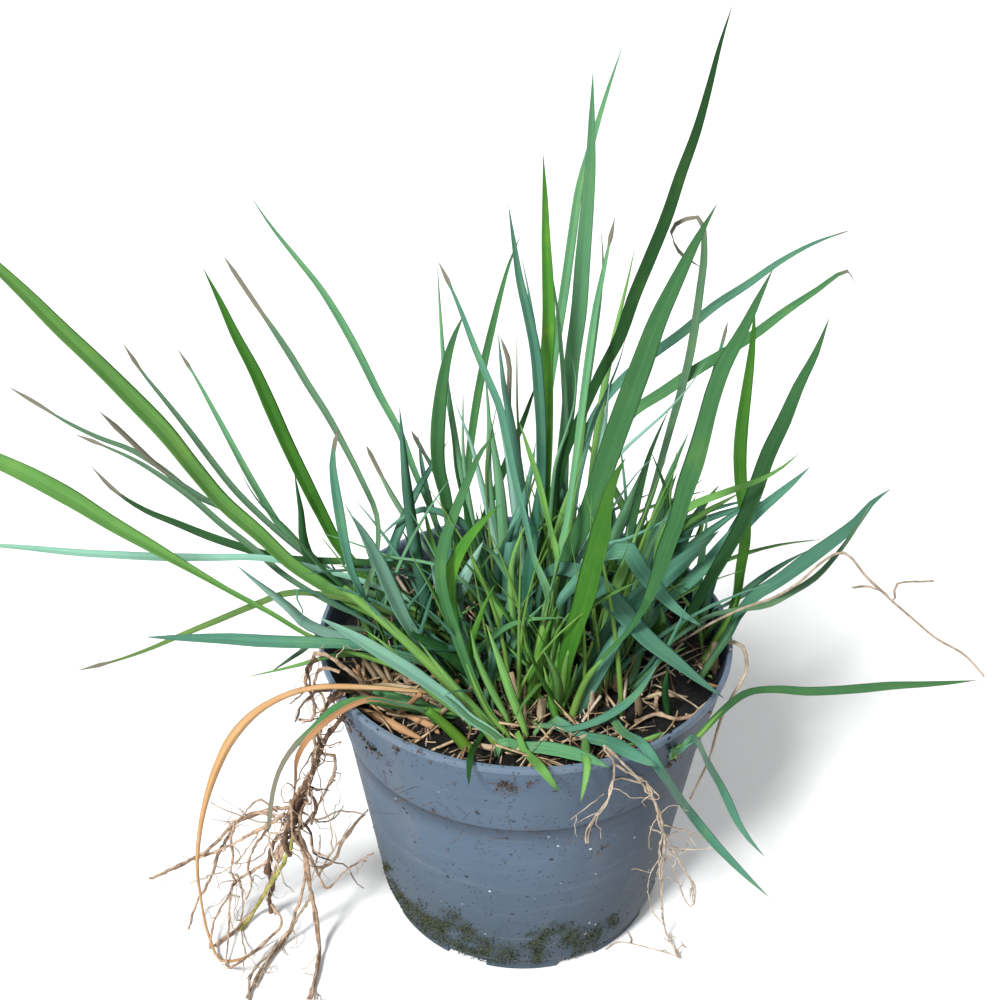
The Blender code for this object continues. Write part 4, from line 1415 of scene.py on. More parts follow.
    def add_moss(self) -> None:
        """The dark moss and algae on the wall just above its foot."""
        mesh = MeshData()
        heights = np.linspace(self.moss_foot, self.moss_top, self.moss_rings)
        for number, height in enumerate(heights):
            mesh.points += circle(self.radius_at(float(height)), float(height), self.sides)
            if number:
                mesh.faces += band((number - 1) * self.sides, number * self.sides, self.sides)
        share = mesh.numbers["moss"] = []
        for point, spot in zip(mesh.points, VIEW.spots(np.array(mesh.points))):
            speckle = (0.035 - 0.5 * min(point[0], 0.05)) * max(0.0, 1.0 - point[2] / 0.056)
            share.append(max(self.growth(point, spot, self.moss_spread), speckle))
        grains = grain_shapes()
        item = self.moss.cover(mesh, grains, moss_material(), outwards=False)
        drop_shapes(grains)
        dress(item)

    def build(self) -> None:
        """Makes the pot, and the dirt and moss on it."""
        pot = self.turned().build("nursery_pot", self.material())
        self.cut_notches(pot)
        dress(pot, "pot", slot="pot_plastic")
        self.add_dirt()
        self.add_moss()


CLODS = (
    ((372, 746), 5.0), ((380, 753), 3.0), ((397, 748), 3.4), ((420, 752), 2.4), ((430, 762), 1.6),
    ((505, 784), 6.0), ((514, 788), 2.6), ((530, 783), 3.2), ((433, 809), 1.8), ((477, 812), 1.8),
    ((602, 848), 2.0), ((673, 757), 4.4), ((681, 750), 2.4), ((585, 782), 1.8), ((352, 722), 3.0),
    ((362, 736), 4.0), ((388, 762), 2.0), ((408, 744), 2.2), ((668, 764), 2.4), ((606, 846), 1.4),
    ((598, 852), 1.4), ((497, 790), 2.2), ((455, 783), 1.6), ((556, 790), 1.8), ((640, 776), 2.0),
    ((447, 828), 1.2), ((448, 849), 1.4), ((498, 832), 1.2), ((505, 860), 1.6), ((422, 777), 1.2),
    ((644, 877), 1.2),
)
CREASE = ((382, 788), (400, 797), (417, 805), (440, 814), (461, 820), (482, 826), (505, 830), (535, 829),
          (564, 827), (593, 824), (620, 814), (646, 805))
MOSS = (
    (386, 868, 4.0), (390, 884, 5.0), (396, 898, 7.0), (404, 908, 8.0), (411, 917, 9.0),
    (426, 925, 11.0), (441, 931, 13.0), (461, 941, 13.0), (482, 949, 12.0), (498, 953, 9.0),
    (510, 956, 8.0), (540, 941, 10.0), (536, 955, 8.0), (566, 935, 9.0), (577, 941, 11.0),
    (590, 938, 8.0), (448, 922, 6.0), (470, 930, 6.0), (552, 930, 5.0), (612, 922, 5.0),
    (536, 948, 10.0), (600, 930, 5.0), (420, 905, 4.0), (455, 915, 5.0),
)


def lump(place: Array, size: Array, random: Random, rounds: int = 2,
         uneven: Spot = (0.8, 1.15)) -> MeshData:
    """An uneven lump.

    Args:
        place: its middle.
        size: how long it is each way.
        random: the source of its unevenness.
        rounds: 1 for 20 faces, 2 for 80.
        uneven: the least and the most that a point is moved out by.

    Returns:
        The lump.
    """
    work = bmesh.new()
    bmesh.ops.create_icosphere(work, subdivisions=rounds, radius=0.5)
    points = [tuple(place + np.array(vert.co) * size * random.uniform(*uneven)) for vert in work.verts]
    faces = [tuple(vert.index for vert in face.verts) for face in work.faces]
    work.free()
    return MeshData(points, faces)


def grain_shapes() -> Shapes:
    """A few grains, about 1 m across, to be set out small.

    Returns:
        Their collection.
    """
    random = np.random.default_rng(11)
    return shape_set("grain", [
        lump(np.zeros(3), random.uniform(0.6, 1.25, 3), random, 1, (0.72, 1.2)) for _ in range(5)])


def dirt_material() -> Material:
    """Brown and black peat that dried on the plastic.

    Returns:
        The material.
    """
    shader = Shader("dried_peat", 0.95, 0.15)
    fine = shader.noise(shader.place(), 900.0, 6.0, 0.7)
    shader.colour = shader.ramp(fine, (0.35, seen(52, 41, 33)), (0.55, seen(88, 71, 58)),
                                (0.7, seen(132, 112, 94)))
    shader.cover(shader.patches(90.0, 2.0, 0.52, 0.44), seen(34, 29, 25))
    return shader.finish(fine, 0.9, 0.0008)


def moss_material() -> Material:
    """Dark olive moss, with grains that differ from one to the next.

    Returns:
        The material.
    """
    shader = Shader("moss", 0.95, 0.1)
    grain = shader.noise(shader.place(), 700.0, 2.0)
    shader.colour = shader.ramp(grain, (0.34, seen(18, 20, 13)), (0.5, seen(40, 44, 26)),
                                (0.66, seen(88, 88, 54)))
    return shader.finish(grain, 0.6, 0.0004)


# ---- the peat


def soft_noise(x: float, y: float, scale: float, turn: float = 0.0) -> float:
    """Smooth noise from about -1 to 1 at a place on the soil."""
    return noise.noise(Vector((x * scale, y * scale, turn)))


@dataclass
class Peat:
    """The rough peat in the pot, with the litter, crumbs and tufts that lie and grow on it."""

    pot: Pot
    top: float = 0.139
    sunk: float = 0.0004
    roughness: float = 0.0018
    crown: float = 0.0015
    gap: float = 0.0005
    rings: int = 58
    sides: int = 200
    tufts: tuple[Spot, ...] = (
        (545, 690), (480, 700), (600, 662), (505, 645), (560, 625), (640, 640), (432, 640), (470, 600),
        (520, 595), (590, 600), (655, 600), (700, 640), (385, 645), (405, 672), (620, 690), (560, 715),
    )

    def height(self, x: float, y: float) -> float:
        """The height of the peat at a place.

        Args:
            x: how far right of the pot's axis it is.
            y: how far behind the axis it is.

        Returns:
            The height in metres.
        """
        waves = math.sin(95 * x + 1.3) * math.cos(80 * y - 0.4) + 0.6 * math.sin(210 * x - 160 * y)
        base = self.roughness * waves / 1.6
        base += self.crown * (1.0 - (x * x + y * y) / self.pot.rim_radius**2)
        fine = 0.0011 * soft_noise(x, y, 160.0) + 0.0008 * soft_noise(x, y, 420.0, 3.0)
        return self.top + base + fine - self.sunk

    def edge(self) -> float:
        """The radius of the peat by the wall."""
        return self.pot.radius_at(self.top) - self.pot.wall - self.gap

    def mesh(self) -> MeshData:
        """The peat's top, and its side and floor inside the pot.

        Returns:
            The closed mesh, with how much litter, grass and crumbs each point bears.
        """
        made = MeshData([(0.0, 0.0, self.height(0.0, 0.0))])
        radius = self.edge()
        centres = [VIEW.on_height(spot, self.top) for spot in self.tufts]
        shares = {"litter": [1.0], "grass": [0.0], "crumbs": [1.0]}
        for ring in range(1, self.rings + 1):
            away = radius * ring / self.rings
            fade = min(1.0, (radius - away) / 0.006)
            inside = 0.0 if ring == self.rings else min(1.0, (radius - away) / 0.008)
            for x, y, _ in circle(away, 0.0, self.sides):
                made.points.append((x, y, self.top - self.sunk + (self.height(x, y) - self.top) * fade))
                near = min(math.hypot(x - c.x, y - c.y) for c in centres)
                litter = 0.55 + 0.9 * soft_noise(x, y, 40.0, 9.0) - 6.0 * (y + 0.02) - 1.0 * x
                crumbs = 0.5 + 0.6 * soft_noise(x, y, 60.0, 5.0) + 5.0 * x
                shares["grass"].append(inside * max(0.0, 1.0 - near / 0.009))
                shares["litter"].append(inside * min(max(litter, 0.15), 1.0))
                shares["crumbs"].append(0.0 if ring == self.rings else max(0.1, crumbs))
        made.faces = [(0, 1 + side, 1 + (side + 1) % self.sides) for side in range(self.sides)]
        for ring in range(self.rings - 1):
            made.faces += band(1 + ring * self.sides, 1 + (ring + 1) * self.sides, self.sides, flip=True)
        last = 1 + (self.rings - 1) * self.sides
        pot = self.pot
        for outer, height in ((pot.band_radius - 2 * pot.band_step, pot.band_height - pot.band_step),
                              (pot.body_radius, pot.body_height),
                              (pot.foot_radius - pot.pad_draft, pot.foot_height + pot.wall + self.gap)):
            made.faces += band(last, len(made.points), self.sides, flip=True)
            last = len(made.points)
            made.points += circle(outer - pot.wall - self.gap, height, self.sides)
        made.faces.append(tuple(last + side for side in range(self.sides)))
        missing = len(made.points) - len(shares["grass"])
        made.numbers = {name: values + [0.0] * missing for name, values in shares.items()}
        return made

    def material(self) -> Material:
        """Damp black peat with brown fibre.

        Returns:
            The material.
        """
        shader = Shader("black_peat", 0.5, 0.55)
        fine = shader.noise(shader.place(), 480.0, 8.0, 0.75)
        fibre = shader.noise(shader.place((1.0, 4.0, 1.0)), 150.0, 6.0, 0.7)
        shader.colour = shader.ramp(fine, (0.30, (0.002, 0.002, 0.0022)), (0.56, (0.008, 0.0075, 0.0075)),
                                    (0.76, (0.05, 0.046, 0.042)))
        shader.cover(shader.between(fibre, 0.64, 0.74), (0.075, 0.052, 0.034))
        return shader.finish(fine, 1.0, 0.004)

    def straw_shapes(self) -> Shapes:
        """A few dead blades and stalks, about 1 m long, to be set out small.

        Returns:
            Their collection.
        """
        random = np.random.default_rng(12)
        steps = np.linspace(-0.5, 0.5, 8)
        end = 4 * len(steps) - 4
        shapes = []
        for index in range(7):
            bend = random.uniform(-0.35, 0.35, 2)
            line = np.stack([steps, bend[0] * steps**2, 0.03 + bend[1] * (0.25 - steps**2)], 1)
            half = random.uniform(0.008, 0.026)
            thick = 0.006 if index % 3 else half * 0.7
            shape = MeshData()
            for place, centre in zip(steps, line):
                wide = half * (1.0 - 0.75 * max(0.0, place) * 2)
                shape.points += [tuple(centre + side) for side in np.array((
                    (0.0, wide, 0.0), (0.0, 0.0, thick), (0.0, -wide, 0.0), (0.0, 0.0, -thick)))]
            for ring in range(0, end, 4):
                shape.faces += band(ring, ring + 4, 4)
            shape.faces += [(3, 2, 1, 0), (end, end + 1, end + 2, end + 3)]
            shapes.append(shape)
        return shape_set("straw", shapes)

    def tuft_shapes(self) -> Shapes:
        """A few short leaning blades, about 1 m long, to be set out small.

        Returns:
            Their collection.
        """
        maker = BladeMaker(columns=2, row_length=0.1, thickness=0.006, edge_thickness=0.002)
        share = np.linspace(0.0, 1.0, 7)
        halves = 0.034 * np.array([0.6, 0.9, 1.0, 1.0, 0.85, 0.5, 0.0])
        sides, ups = np.tile((0.0, 1.0, 0.0), (7, 1)), np.tile((-1.0, 0.0, 0.3), (7, 1))
        bends = ((0.15, 0.2), (0.35, 0.5), (0.6, 0.9), (0.25, -0.2), (0.8, 0.7))
        shapes = []
        for index, (lean, curl) in enumerate(bends):
            line = np.stack([lean * share + curl * 0.4 * share**2, 0.06 * np.sin(3 * share),
                             share * (1.0 - 0.35 * lean * share)], 1)
            shapes.append(maker.sweep(Limb(line, sides, halves, ups), BladeLook(FRESH), 400 + index))
        return shape_set("tuft", shapes)

    def keep_inside(self, item: Item) -> None:
        """Moves what would go through the pot's wall back to its inner face.

        Args:
            item: the object that is moved.
        """
        for vert in item.data.vertices:
            if vert.co.z < self.pot.height + 0.001:
                most = self.pot.radius_at(min(vert.co.z, self.top)) - self.pot.wall - self.gap
                away = math.hypot(vert.co.x, vert.co.y)
                if away > most:
                    vert.co.x *= most / away
                    vert.co.y *= most / away

    def build(self) -> None:
        """Makes the peat and what lies on it."""
        surface, peat = self.mesh(), self.material()
        dress(surface.build("peat", peat), "soil", slot="black_soil")
        crumbs, straws, tufts = grain_shapes(), self.straw_shapes(), self.tuft_shapes()
        thatch, pale, brown = (stem_material(kind) for kind in (THATCH, PALE_ROOT, BROWN_THATCH))
        fresh, blue = leaf_material(FRESH), leaf_material(BLUE)
        for shapes, material, plan in (
            (crumbs, peat, Scattering("peat_crumbs", 210000.0, "crumbs", 0.0009, 0.0036, 3.0, 21)),
            (straws, thatch, Scattering("thatch", 26000.0, "litter", 0.014, 0.050, 0.40, 22)),
            (straws, pale, Scattering("pale_thatch", 12000.0, "litter", 0.014, 0.044, 0.5, 23)),
            (straws, brown, Scattering("brown_thatch", 18000.0, "litter", 0.010, 0.036, 0.5, 26)),
            (tufts, fresh, Scattering("short_blades", 60000.0, "grass", 0.035, 0.085, 0.35, 24)),
            (tufts, blue, Scattering("short_blue_blades", 38000.0, "grass", 0.035, 0.095, 0.4, 25)),
        ):
            item = plan.cover(surface, shapes, material)
            self.keep_inside(item)
            dress(item)
        drop_shapes(crumbs, straws, tufts)


# ---- the leaves


def look(kind: Leaf, dry: float = 0.0, shade: float = 0.25, fold: float = 0.28) -> BladeLook:
    """A living blade's look in a few words."""
    return BladeLook(kind, dry, fold, 1.0, shade)


# A blade's shade paints it darker: partly its own tone, and partly painted shade for blades that stand in
# shadow, most of them on the clump's right side.
LEAVES: dict[str, BladeLook] = {
    "leaf_top_1": look(SOFT), "leaf_top_2": look(SOFT, 0.0, 0.85), "leaf_top_3": look(VIVID, 0.0, 0.1),
    "leaf_top_4": look(BLUE), "leaf_top_5": look(MID), "leaf_top_6": look(MID, 0.0, 0.6),
    "leaf_right_1": look(DEEP, 0.0, 0.75), "leaf_right_2": look(MID, 0.0, 0.9),
    "leaf_right_3": look(BLUE, 0.04), "leaf_right_4": BladeLook(MID, 0.07, width=1.15),
    "leaf_right_5": BladeLook(MID, shade=0.5, stem=0.34), "leaf_right_6": look(MID, 0.0, 1.0),
    "leaf_right_7": look(VIVID, 0.0, 1.15), "leaf_right_8": look(BLUE),
    "leaf_right_9": look(BLUE, 0.04, 0.9), "leaf_right_10": look(GREY),
    "leaf_right_11": look(MID, 0.04, 0.95),
    "leaf_right_12": BladeLook(BLUE, shade=0.95, width=1.4, stem=0.46),
    "leaf_right_13": BladeLook(BLUE, shade=0.3, width=1.35, stem=0.46),
    "leaf_right_14": look(BLUE, 0.0, 0.1), "leaf_right_15": look(BLUE),
    "leaf_right_17": BladeLook(GREY, 0.25, width=1.7),
    "leaf_left_1": BladeLook(FRESH, shade=0.45, stem=0.2), "leaf_left_2": look(GREY, 0.1),
    "leaf_left_3": look(SOFT, 0.08), "leaf_left_4": look(VIVID, 0.0, 0.6), "leaf_left_6": look(SOFT),
    "leaf_left_7": look(GREY, 0.15), "leaf_left_8": look(GREY, 0.1), "leaf_left_10": look(DEEP, 0.12),
    "leaf_left_11": BladeLook(FRESH, shade=0.35, stem=0.55), "leaf_left_12": look(PALE_BLUE, 0.04, 0.25),
    "leaf_left_13": look(OLIVE, 0.1), "leaf_left_14": look(BLUE, 0.0, 0.1),
    "leaf_left_23": look(PALE_BLUE, 0.0, 0.45), "leaf_mid_1": look(MID, 0.0, 0.7),
    "leaf_mid_2": look(VIVID, 0.0, 0.1), "leaf_mid_3": look(DUSK),
    "leaf_mid_4": BladeLook(VIVID, shade=0.6, width=1.12, bare=0.1),
    "leaf_mid_5": BladeLook(BLUE, shade=0.0, width=1.25, bare=0.34),
    "leaf_front_1": look(PALE_BLUE, 0.0, 0.0), "leaf_front_2": look(BLUE),
    "leaf_front_3": BladeLook(SOFT, width=1.55, bare=0.2), "leaf_front_4": BladeLook(FRESH, width=1.3),
    "leaf_front_6": look(DEEP), "leaf_front_7": look(BLUE),
    "leaf_front_10": BladeLook(MID, 0.5, shade=0.25, width=0.78, bare=0.3),
    "dry_leaf_2": BladeLook(RUST, 0.0, 0.6, 2.4, 0.6, 0.62),
}

SLOTS = {kind: slot for slot, kinds in {
    "green": (VIVID, FRESH, MID, SOFT, OLIVE), "blue_green": (BLUE, DUSK, PALE_BLUE),
    "dark_green": (DEEP, GREY), "straw": (STRAW, RUST, DRIED),
}.items() for kind in kinds}


@dataclass(frozen=True)
class SmallLeaf:
    """An extra leaf that is traced from its tip to its root, and has no solid of its own.

    Without a tip_back it stays as far back as its root, or goes through the backs from root to tip.
    A blunt leaf is torn off square.
    """

    kind: Leaf
    width_mm: float
    tip_back: float | None
    trace: tuple[Spot, ...]
    dry: float = 0.0
    blunt: float = 0.0
    backs: tuple[float, ...] = ()

    def limb(self, top: float) -> Limb:
        """Its line in space, from its root on the peat to its tip.

        Args:
            top: the height of the peat.

        Returns:
            The limb.
        """
        trace = self.trace[::-1]
        root = VIEW.on_height(trace[0], top)
        tip_back = root.y if self.tip_back is None else self.tip_back / 1000
        steps = [math.dist(a, b) for a, b in zip(trace, trace[1:])]
        shares = np.cumsum(steps) / sum(steps)
        knots = [np.array(root) - np.array((0.0, 0.0, 0.002)), np.array(root) + np.array((0.0, 0.0, 0.004))]
        for index, (spot, share) in enumerate(zip(trace[1:], shares)):
            back = root.y + (tip_back - root.y) * share**1.25
            if self.backs:
                back = self.backs[index] / 1000
            knots.append(np.array(VIEW.at_back(spot, back)))
        line, _ = smooth_line(np.array(knots), 12)
        share = np.linspace(0.0, 1.0, len(line))
        taper = 1.0 - (1.0 - self.blunt) * np.clip((share - 0.45) / 0.55, 0.0, 1.0) ** 1.7
        halves = self.width_mm / 2000 * (0.5 + 0.5 * np.clip(share / 0.35, 0.0, 1.0)) * taper
        return facing_limb(line, halves)


def facing_limb(line: Array, halves: Array) -> Limb:
    """A limb whose upper face looks up and towards the viewpoint.

    Args:
        line: its middle line.
        halves: half its width at each point.

    Returns:
        The limb.
    """
    way = ways(line)
    face = square(0.62 * unit(np.array(VIEW.eye) - line) + 0.38 * np.array((0.0, 0.0, 1.0)), way)
    return Limb(line, np.cross(way, face), halves, face)


@dataclass(frozen=True)
class LyingLeaf:
    """A dead leaf or straw that lies on the peat along a line of picture points."""

    kind: Leaf
    width_mm: float
    lift_mm: float
    trace: tuple[Spot, ...]

    def limb(self, top: float) -> Limb:
        """Its line in space, a little off the peat in its middle.

        Args:
            top: the height of the peat.

        Returns:
            The limb.
        """
        shares = np.linspace(0.0, 1.0, len(self.trace))
        heights = [top + 0.0012 + self.lift_mm / 1000 * math.sin(math.pi * share) for share in shares]
        knots = [np.array(VIEW.on_height(*place)) for place in zip(self.trace, heights)]
        line, _ = smooth_line(np.array(knots), 12)
        share = np.linspace(0.0, 1.0, len(line))
        return facing_limb(line, self.width_mm / 2000 * (1.0 - 0.8 * np.abs(2 * share - 1) ** 3))


LYING_LEAVES = tuple(LyingLeaf(*row) for row in (
    (MID, 6.6, 7.0, ((347, 697), (378, 697), (418, 706), (463, 718))),
    (DRIED, 6.0, 5.0, ((344, 690), (380, 687), (420, 694), (446, 702))),
    (DRIED, 5.0, 7.0, ((392, 673), (420, 680), (447, 700))),
    (RUST, 4.0, 3.0, ((358, 708), (388, 722), (425, 740))),
    (DRIED, 4.0, 3.0, ((364, 642), (390, 658), (416, 688))),
    (DRIED, 5.0, 3.0, ((367, 691), (397, 688), (432, 697))),
    (RUST, 3.6, 3.0, ((404, 714), (425, 722), (441, 735))),
    (STRAW, 2.6, 4.0, ((436, 663), (464, 697), (488, 723), (505, 741))),
    (STRAW, 1.3, 3.0, ((355, 692), (376, 708), (396, 728))),
    (DRIED, 1.5, 4.0, ((412, 621), (426, 606), (438, 593))),
    (DRIED, 1.5, 4.0, ((417, 611), (426, 622), (433, 634))),
    (FRESH, 2.6, 2.0, ((626, 745), (652, 738), (667, 732))),
    (RUST, 3.4, 2.5, ((383, 662), (404, 668), (428, 664))),
    (DRIED, 2.8, 2.0, ((470, 742), (492, 748), (520, 746))),
    (DRIED, 2.0, 3.0, ((560, 742), (584, 736), (602, 722))),
    (DRIED, 2.4, 3.0, ((640, 700), (662, 694), (690, 697))),
    (RUST, 2.4, 3.0, ((688, 668), (702, 682), (722, 688))),
    (SOFT, 4.6, 19.0, ((632, 648), (638, 650), (643, 653))),
    (FRESH, 2.6, 7.0, ((621, 669), (625, 670), (628, 673))),
    (FRESH, 2.4, 7.0, ((627, 666), (630, 669), (632, 673))),
    (OLIVE, 1.6, 4.0, ((704, 652), (707, 656), (708, 661))),
    (FRESH, 1.6, 3.0, ((706, 664), (709, 668), (712, 671))),
    (OLIVE, 1.6, 3.0, ((707, 675), (710, 676), (713, 680))),
))


SMALL_LEAVES = tuple(SmallLeaf(*row) for row in (
    (GREY, 3.6, -45, ((268, 674), (281, 665), (297, 654), (312, 643), (330, 628), (395, 640))),
    (FRESH, 2.4, -50, ((243, 678), (290, 667), (350, 654), (420, 672))),
    (PALE_BLUE, 5.2, -35, ((234, 563), (252, 578), (275, 596), (297, 614), (317, 629), (400, 664))),
    (BLUE, 2.0, -40, ((299, 634), (303, 607), (294, 588), (330, 600), (410, 655))),
    (DEEP, 5.6, 20, ((294, 470), (302, 517), (309, 556), (360, 610), (420, 640))),
    (BLUE, 4.4, 30, ((378, 540), (394, 524), (427, 509), (470, 530), (490, 590))),
    (PALE_BLUE, 8.0, -5, ((484, 540), (466, 575), (456, 601), (462, 650))),
    (SOFT, 6.0, -25, ((481, 540), (494, 555), (509, 575), (525, 605), (530, 668))),
    (BLUE, 3.6, -20, ((456, 581), (479, 588), (504, 598), (519, 604), (540, 660))),
    (FRESH, 4.0, 80, ((636, 242), (624, 297), (613, 342), (598, 430), (580, 600))),
    (SOFT, 3.0, 90, ((600, 221), (603, 268), (596, 330), (575, 470), (560, 600))),
    (SOFT, 3.2, 75, ((437, 258), (441, 324), (446, 380), (462, 480), (480, 600))),
    (FRESH, 4.0, None, ((580, 804), (584, 787), (588, 765), (586, 755), (585, 745)),
        0.0, 0.0, (-87.0, -94.0, -98.5, -96.5)),
    (DEEP, 7.6, -40, ((405, 630), (430, 643), (455, 657), (480, 690))),
    (FRESH, 4.2, -50, ((486, 624), (499, 659), (511, 694), (526, 740))),
    (SOFT, 4.5, -30, ((545, 602), (520, 630), (508, 655), (505, 690))),
    (PALE_BLUE, 5.0, 25, ((610, 380), (604, 430), (596, 480), (580, 560), (570, 640))),
    (BLUE, 5.0, 35, ((498, 330), (503, 380), (512, 430), (522, 500), (530, 600))),
    (SOFT, 5.5, 20, ((487, 400), (493, 440), (500, 490), (505, 560), (510, 640))),
    (FRESH, 4.4, 0, ((580, 470), (574, 500), (566, 545), (556, 600), (550, 660))),
    (SOFT, 6.0, 10, ((655, 440), (640, 480), (622, 520), (600, 570), (580, 640))),
    (BLUE, 5.0, -10, ((700, 470), (680, 500), (660, 530), (640, 580), (620, 650))),
    (MID, 5.0, -5, ((690, 430), (672, 470), (655, 520), (640, 570), (630, 640))),
    (FRESH, 5.0, -20, ((640, 520), (628, 560), (612, 600), (602, 650), (598, 690))),
    (VIVID, 4.4, -40, ((560, 640), (556, 670), (552, 700), (556, 725))),
    (FRESH, 3.6, -45, ((470, 628), (478, 660), (492, 690), (508, 728))),
    (SOFT, 3.0, 60, ((547, 248), (556, 300), (562, 360), (566, 450), (560, 600))),
    (BLUE, 3.2, 70, ((520, 250), (530, 300), (538, 360), (545, 470), (545, 600))),
    (FRESH, 3.0, -60, ((418, 640), (440, 668), (468, 700), (498, 738))),
    (FRESH, 3.4, -55, ((362, 628), (392, 650), (430, 690), (470, 730))),
    (SOFT, 4.0, 30, ((460, 470), (470, 510), (480, 560), (490, 620))),
    (PALE_BLUE, 6.0, -15, ((430, 560), (440, 590), (452, 620), (470, 660))),
    (BLUE, 7.0, -40, ((660, 590), (640, 612), (615, 640), (590, 690), (580, 716))),
    (SOFT, 2.4, 30, ((463, 382), (463, 415), (463, 443), (466, 479), (480, 560), (492, 640))),
    (PALE_BLUE, 3.4, 20, ((453, 397), (463, 422), (471, 443), (479, 473), (500, 560), (512, 640))),
    (PALE_BLUE, 4.2, 30, ((489, 374), (496, 402), (504, 433), (509, 463), (522, 560), (530, 640))),
    (GREY, 1.8, 50, ((500, 336), (508, 351), (509, 384), (509, 422), (515, 520), (520, 620)), 0.5),
    (OLIVE, 1.4, 20, ((499, 387), (496, 410), (489, 443), (486, 479), (492, 560), (500, 640))),
    (OLIVE, 1.4, 55, ((517, 315), (517, 377), (518, 422), (524, 520), (530, 610))),
    (SOFT, 3.4, 25, ((484, 359), (489, 422), (489, 479), (500, 560), (508, 640))),
    (DEEP, 2.0, 10, ((448, 392), (451, 428), (456, 458), (458, 479), (480, 560), (500, 640))),
    (FRESH, 3.0, 70, ((593, 300), (591, 351), (586, 402), (575, 500), (565, 600))),
    (BLUE, 2.6, 50, ((627, 333), (614, 377), (596, 415), (575, 500), (565, 620))),
    (SOFT, 1.8, 45, ((570, 351), (576, 384), (570, 422), (555, 466), (548, 560), (548, 640))),
    (PALE_BLUE, 2.2, 40, ((711, 353), (685, 392), (657, 420), (632, 443), (606, 479), (575, 600),
        (570, 680))),
    (MID, 4.2, 10, ((670, 407), (650, 453), (639, 494), (629, 535), (612, 600), (600, 660))),
    (DEEP, 3.4, -10, ((650, 449), (662, 479), (667, 499), (664, 530), (650, 590), (630, 650))),
    (FRESH, 2.2, 0, ((678, 443), (670, 494), (667, 530), (650, 590), (628, 655))),
    (PALE_BLUE, 1.8, 0, ((662, 451), (637, 473), (606, 517), (581, 553), (568, 610), (565, 690))),
    (BLUE, 2.6, -10, ((698, 504), (667, 519), (632, 537), (581, 555), (563, 600), (560, 690))),
    (FRESH, 4.2, 10, ((583, 450), (578, 473), (565, 504), (552, 560), (548, 650))),
    (FRESH, 3.8, -20, ((530, 514), (517, 545), (512, 563), (512, 610), (520, 690))),
    (BLUE, 5.8, 0, ((536, 440), (530, 476), (519, 517), (512, 537), (508, 590), (512, 670))),
    (VIVID, 3.4, -50, ((496, 583), (484, 606), (471, 644), (470, 670), (478, 700))),
    (MID, 3.8, -45, ((568, 618), (530, 619), (502, 629), (473, 657), (470, 690))),
    (VIVID, 2.6, -40, ((560, 600), (553, 614), (537, 657), (530, 683), (527, 715))),
    (BLUE, 2.2, -30, ((435, 568), (420, 593), (407, 611), (420, 640), (450, 680))),
    (SOFT, 1.8, -20, ((310, 530), (351, 542), (402, 560), (435, 563), (480, 600), (505, 680))),
    (DEEP, 3.4, None, ((668, 667), (665, 690), (667, 718))),
    (RUST, 0.9, None, ((637, 652), (627, 674), (617, 693)), 0.0, 0.8),
    (PALE_BLUE, 0.7, None, ((627, 671), (631, 676), (635, 683)), 0.0, 0.8),
    (GREY, 1.6, -30, ((98, 410), (118, 428), (140, 450), (158, 466), (190, 488), (240, 520), (300, 566),
        (360, 610), (420, 650)), 0.3),
    (MID, 2.0, -40, ((240, 470), (252, 492), (268, 512), (287, 528), (330, 575), (400, 640))),
    (DRIED, 4.4, None, ((543, 697), (541, 723)), 0.0, 0.8),
    (DRIED, 3.6, None, ((617, 667), (615, 694)), 0.0, 0.8),
    (DRIED, 4.0, None, ((715, 641), (714, 673)), 0.0, 0.8),
    (DRIED, 2.8, None, ((362, 656), (376, 684)), 0.0, 0.6),
    (DRIED, 3.0, None, ((371, 660), (386, 686)), 0.0, 0.6),
    (DRIED, 2.4, None, ((384, 664), (392, 690)), 0.0, 0.6),
    (RUST, 2.2, None, ((352, 668), (368, 688)), 0.0, 0.6),
    (RUST, 3.6, None, ((555, 667), (555, 700)), 0.0, 0.7),
    (RUST, 3.2, None, ((463, 604), (464, 634)), 0.0, 0.7),
    (DRIED, 3.4, None, ((517, 682), (518, 706)), 0.0, 0.8),
    (DRIED, 3.0, None, ((592, 690), (590, 716)), 0.0, 0.8),
    (RUST, 3.0, None, ((446, 668), (450, 694)), 0.0, 0.8),
    (DRIED, 3.0, None, ((660, 640), (656, 668)), 0.0, 0.8),
))


@dataclass(frozen=True)
class ShootPlan:
    """Where a shoot's culm starts and ends in the picture, and the tips of its fused blades."""

    kind: Leaf
    root: Spot
    top: Spot
    radius: float
    blades: tuple[tuple[Spot, float, Leaf, float], ...]


SHOOTS = {
    "shoot_back": ShootPlan(DEEP, (480, 612), (467, 572), 0.0022, (
        ((366, 445), 0.0035, GREY, 0.3), ((411, 430), 0.0035, GREY, 0.25),
        ((538, 379), 0.005, DEEP, 0.0))),
    "shoot_middle": ShootPlan(FRESH, (533, 700), (557, 580), 0.0026, (
        ((438, 261), 0.004, BLUE, 0.1), ((519, 421), 0.0035, FRESH, 0.0),
        ((615, 217), 0.004, SOFT, 0.1))),
    "shoot_right": ShootPlan(BLUE, (630, 690), (652, 596), 0.0024, (
        ((801, 451), 0.0045, FRESH, 0.05), ((728, 321), 0.004, BLUE, 0.1))),
    "shoot_left": ShootPlan(FRESH, (502, 740), (345, 592), 0.0024, (
        ((223, 255), 0.004, GREY, 0.25), ((339, 428), 0.0055, BLUE, 0.1))),
    "shoot_front": ShootPlan(VIVID, (468, 746), (428, 706), 0.0026, ()),
}


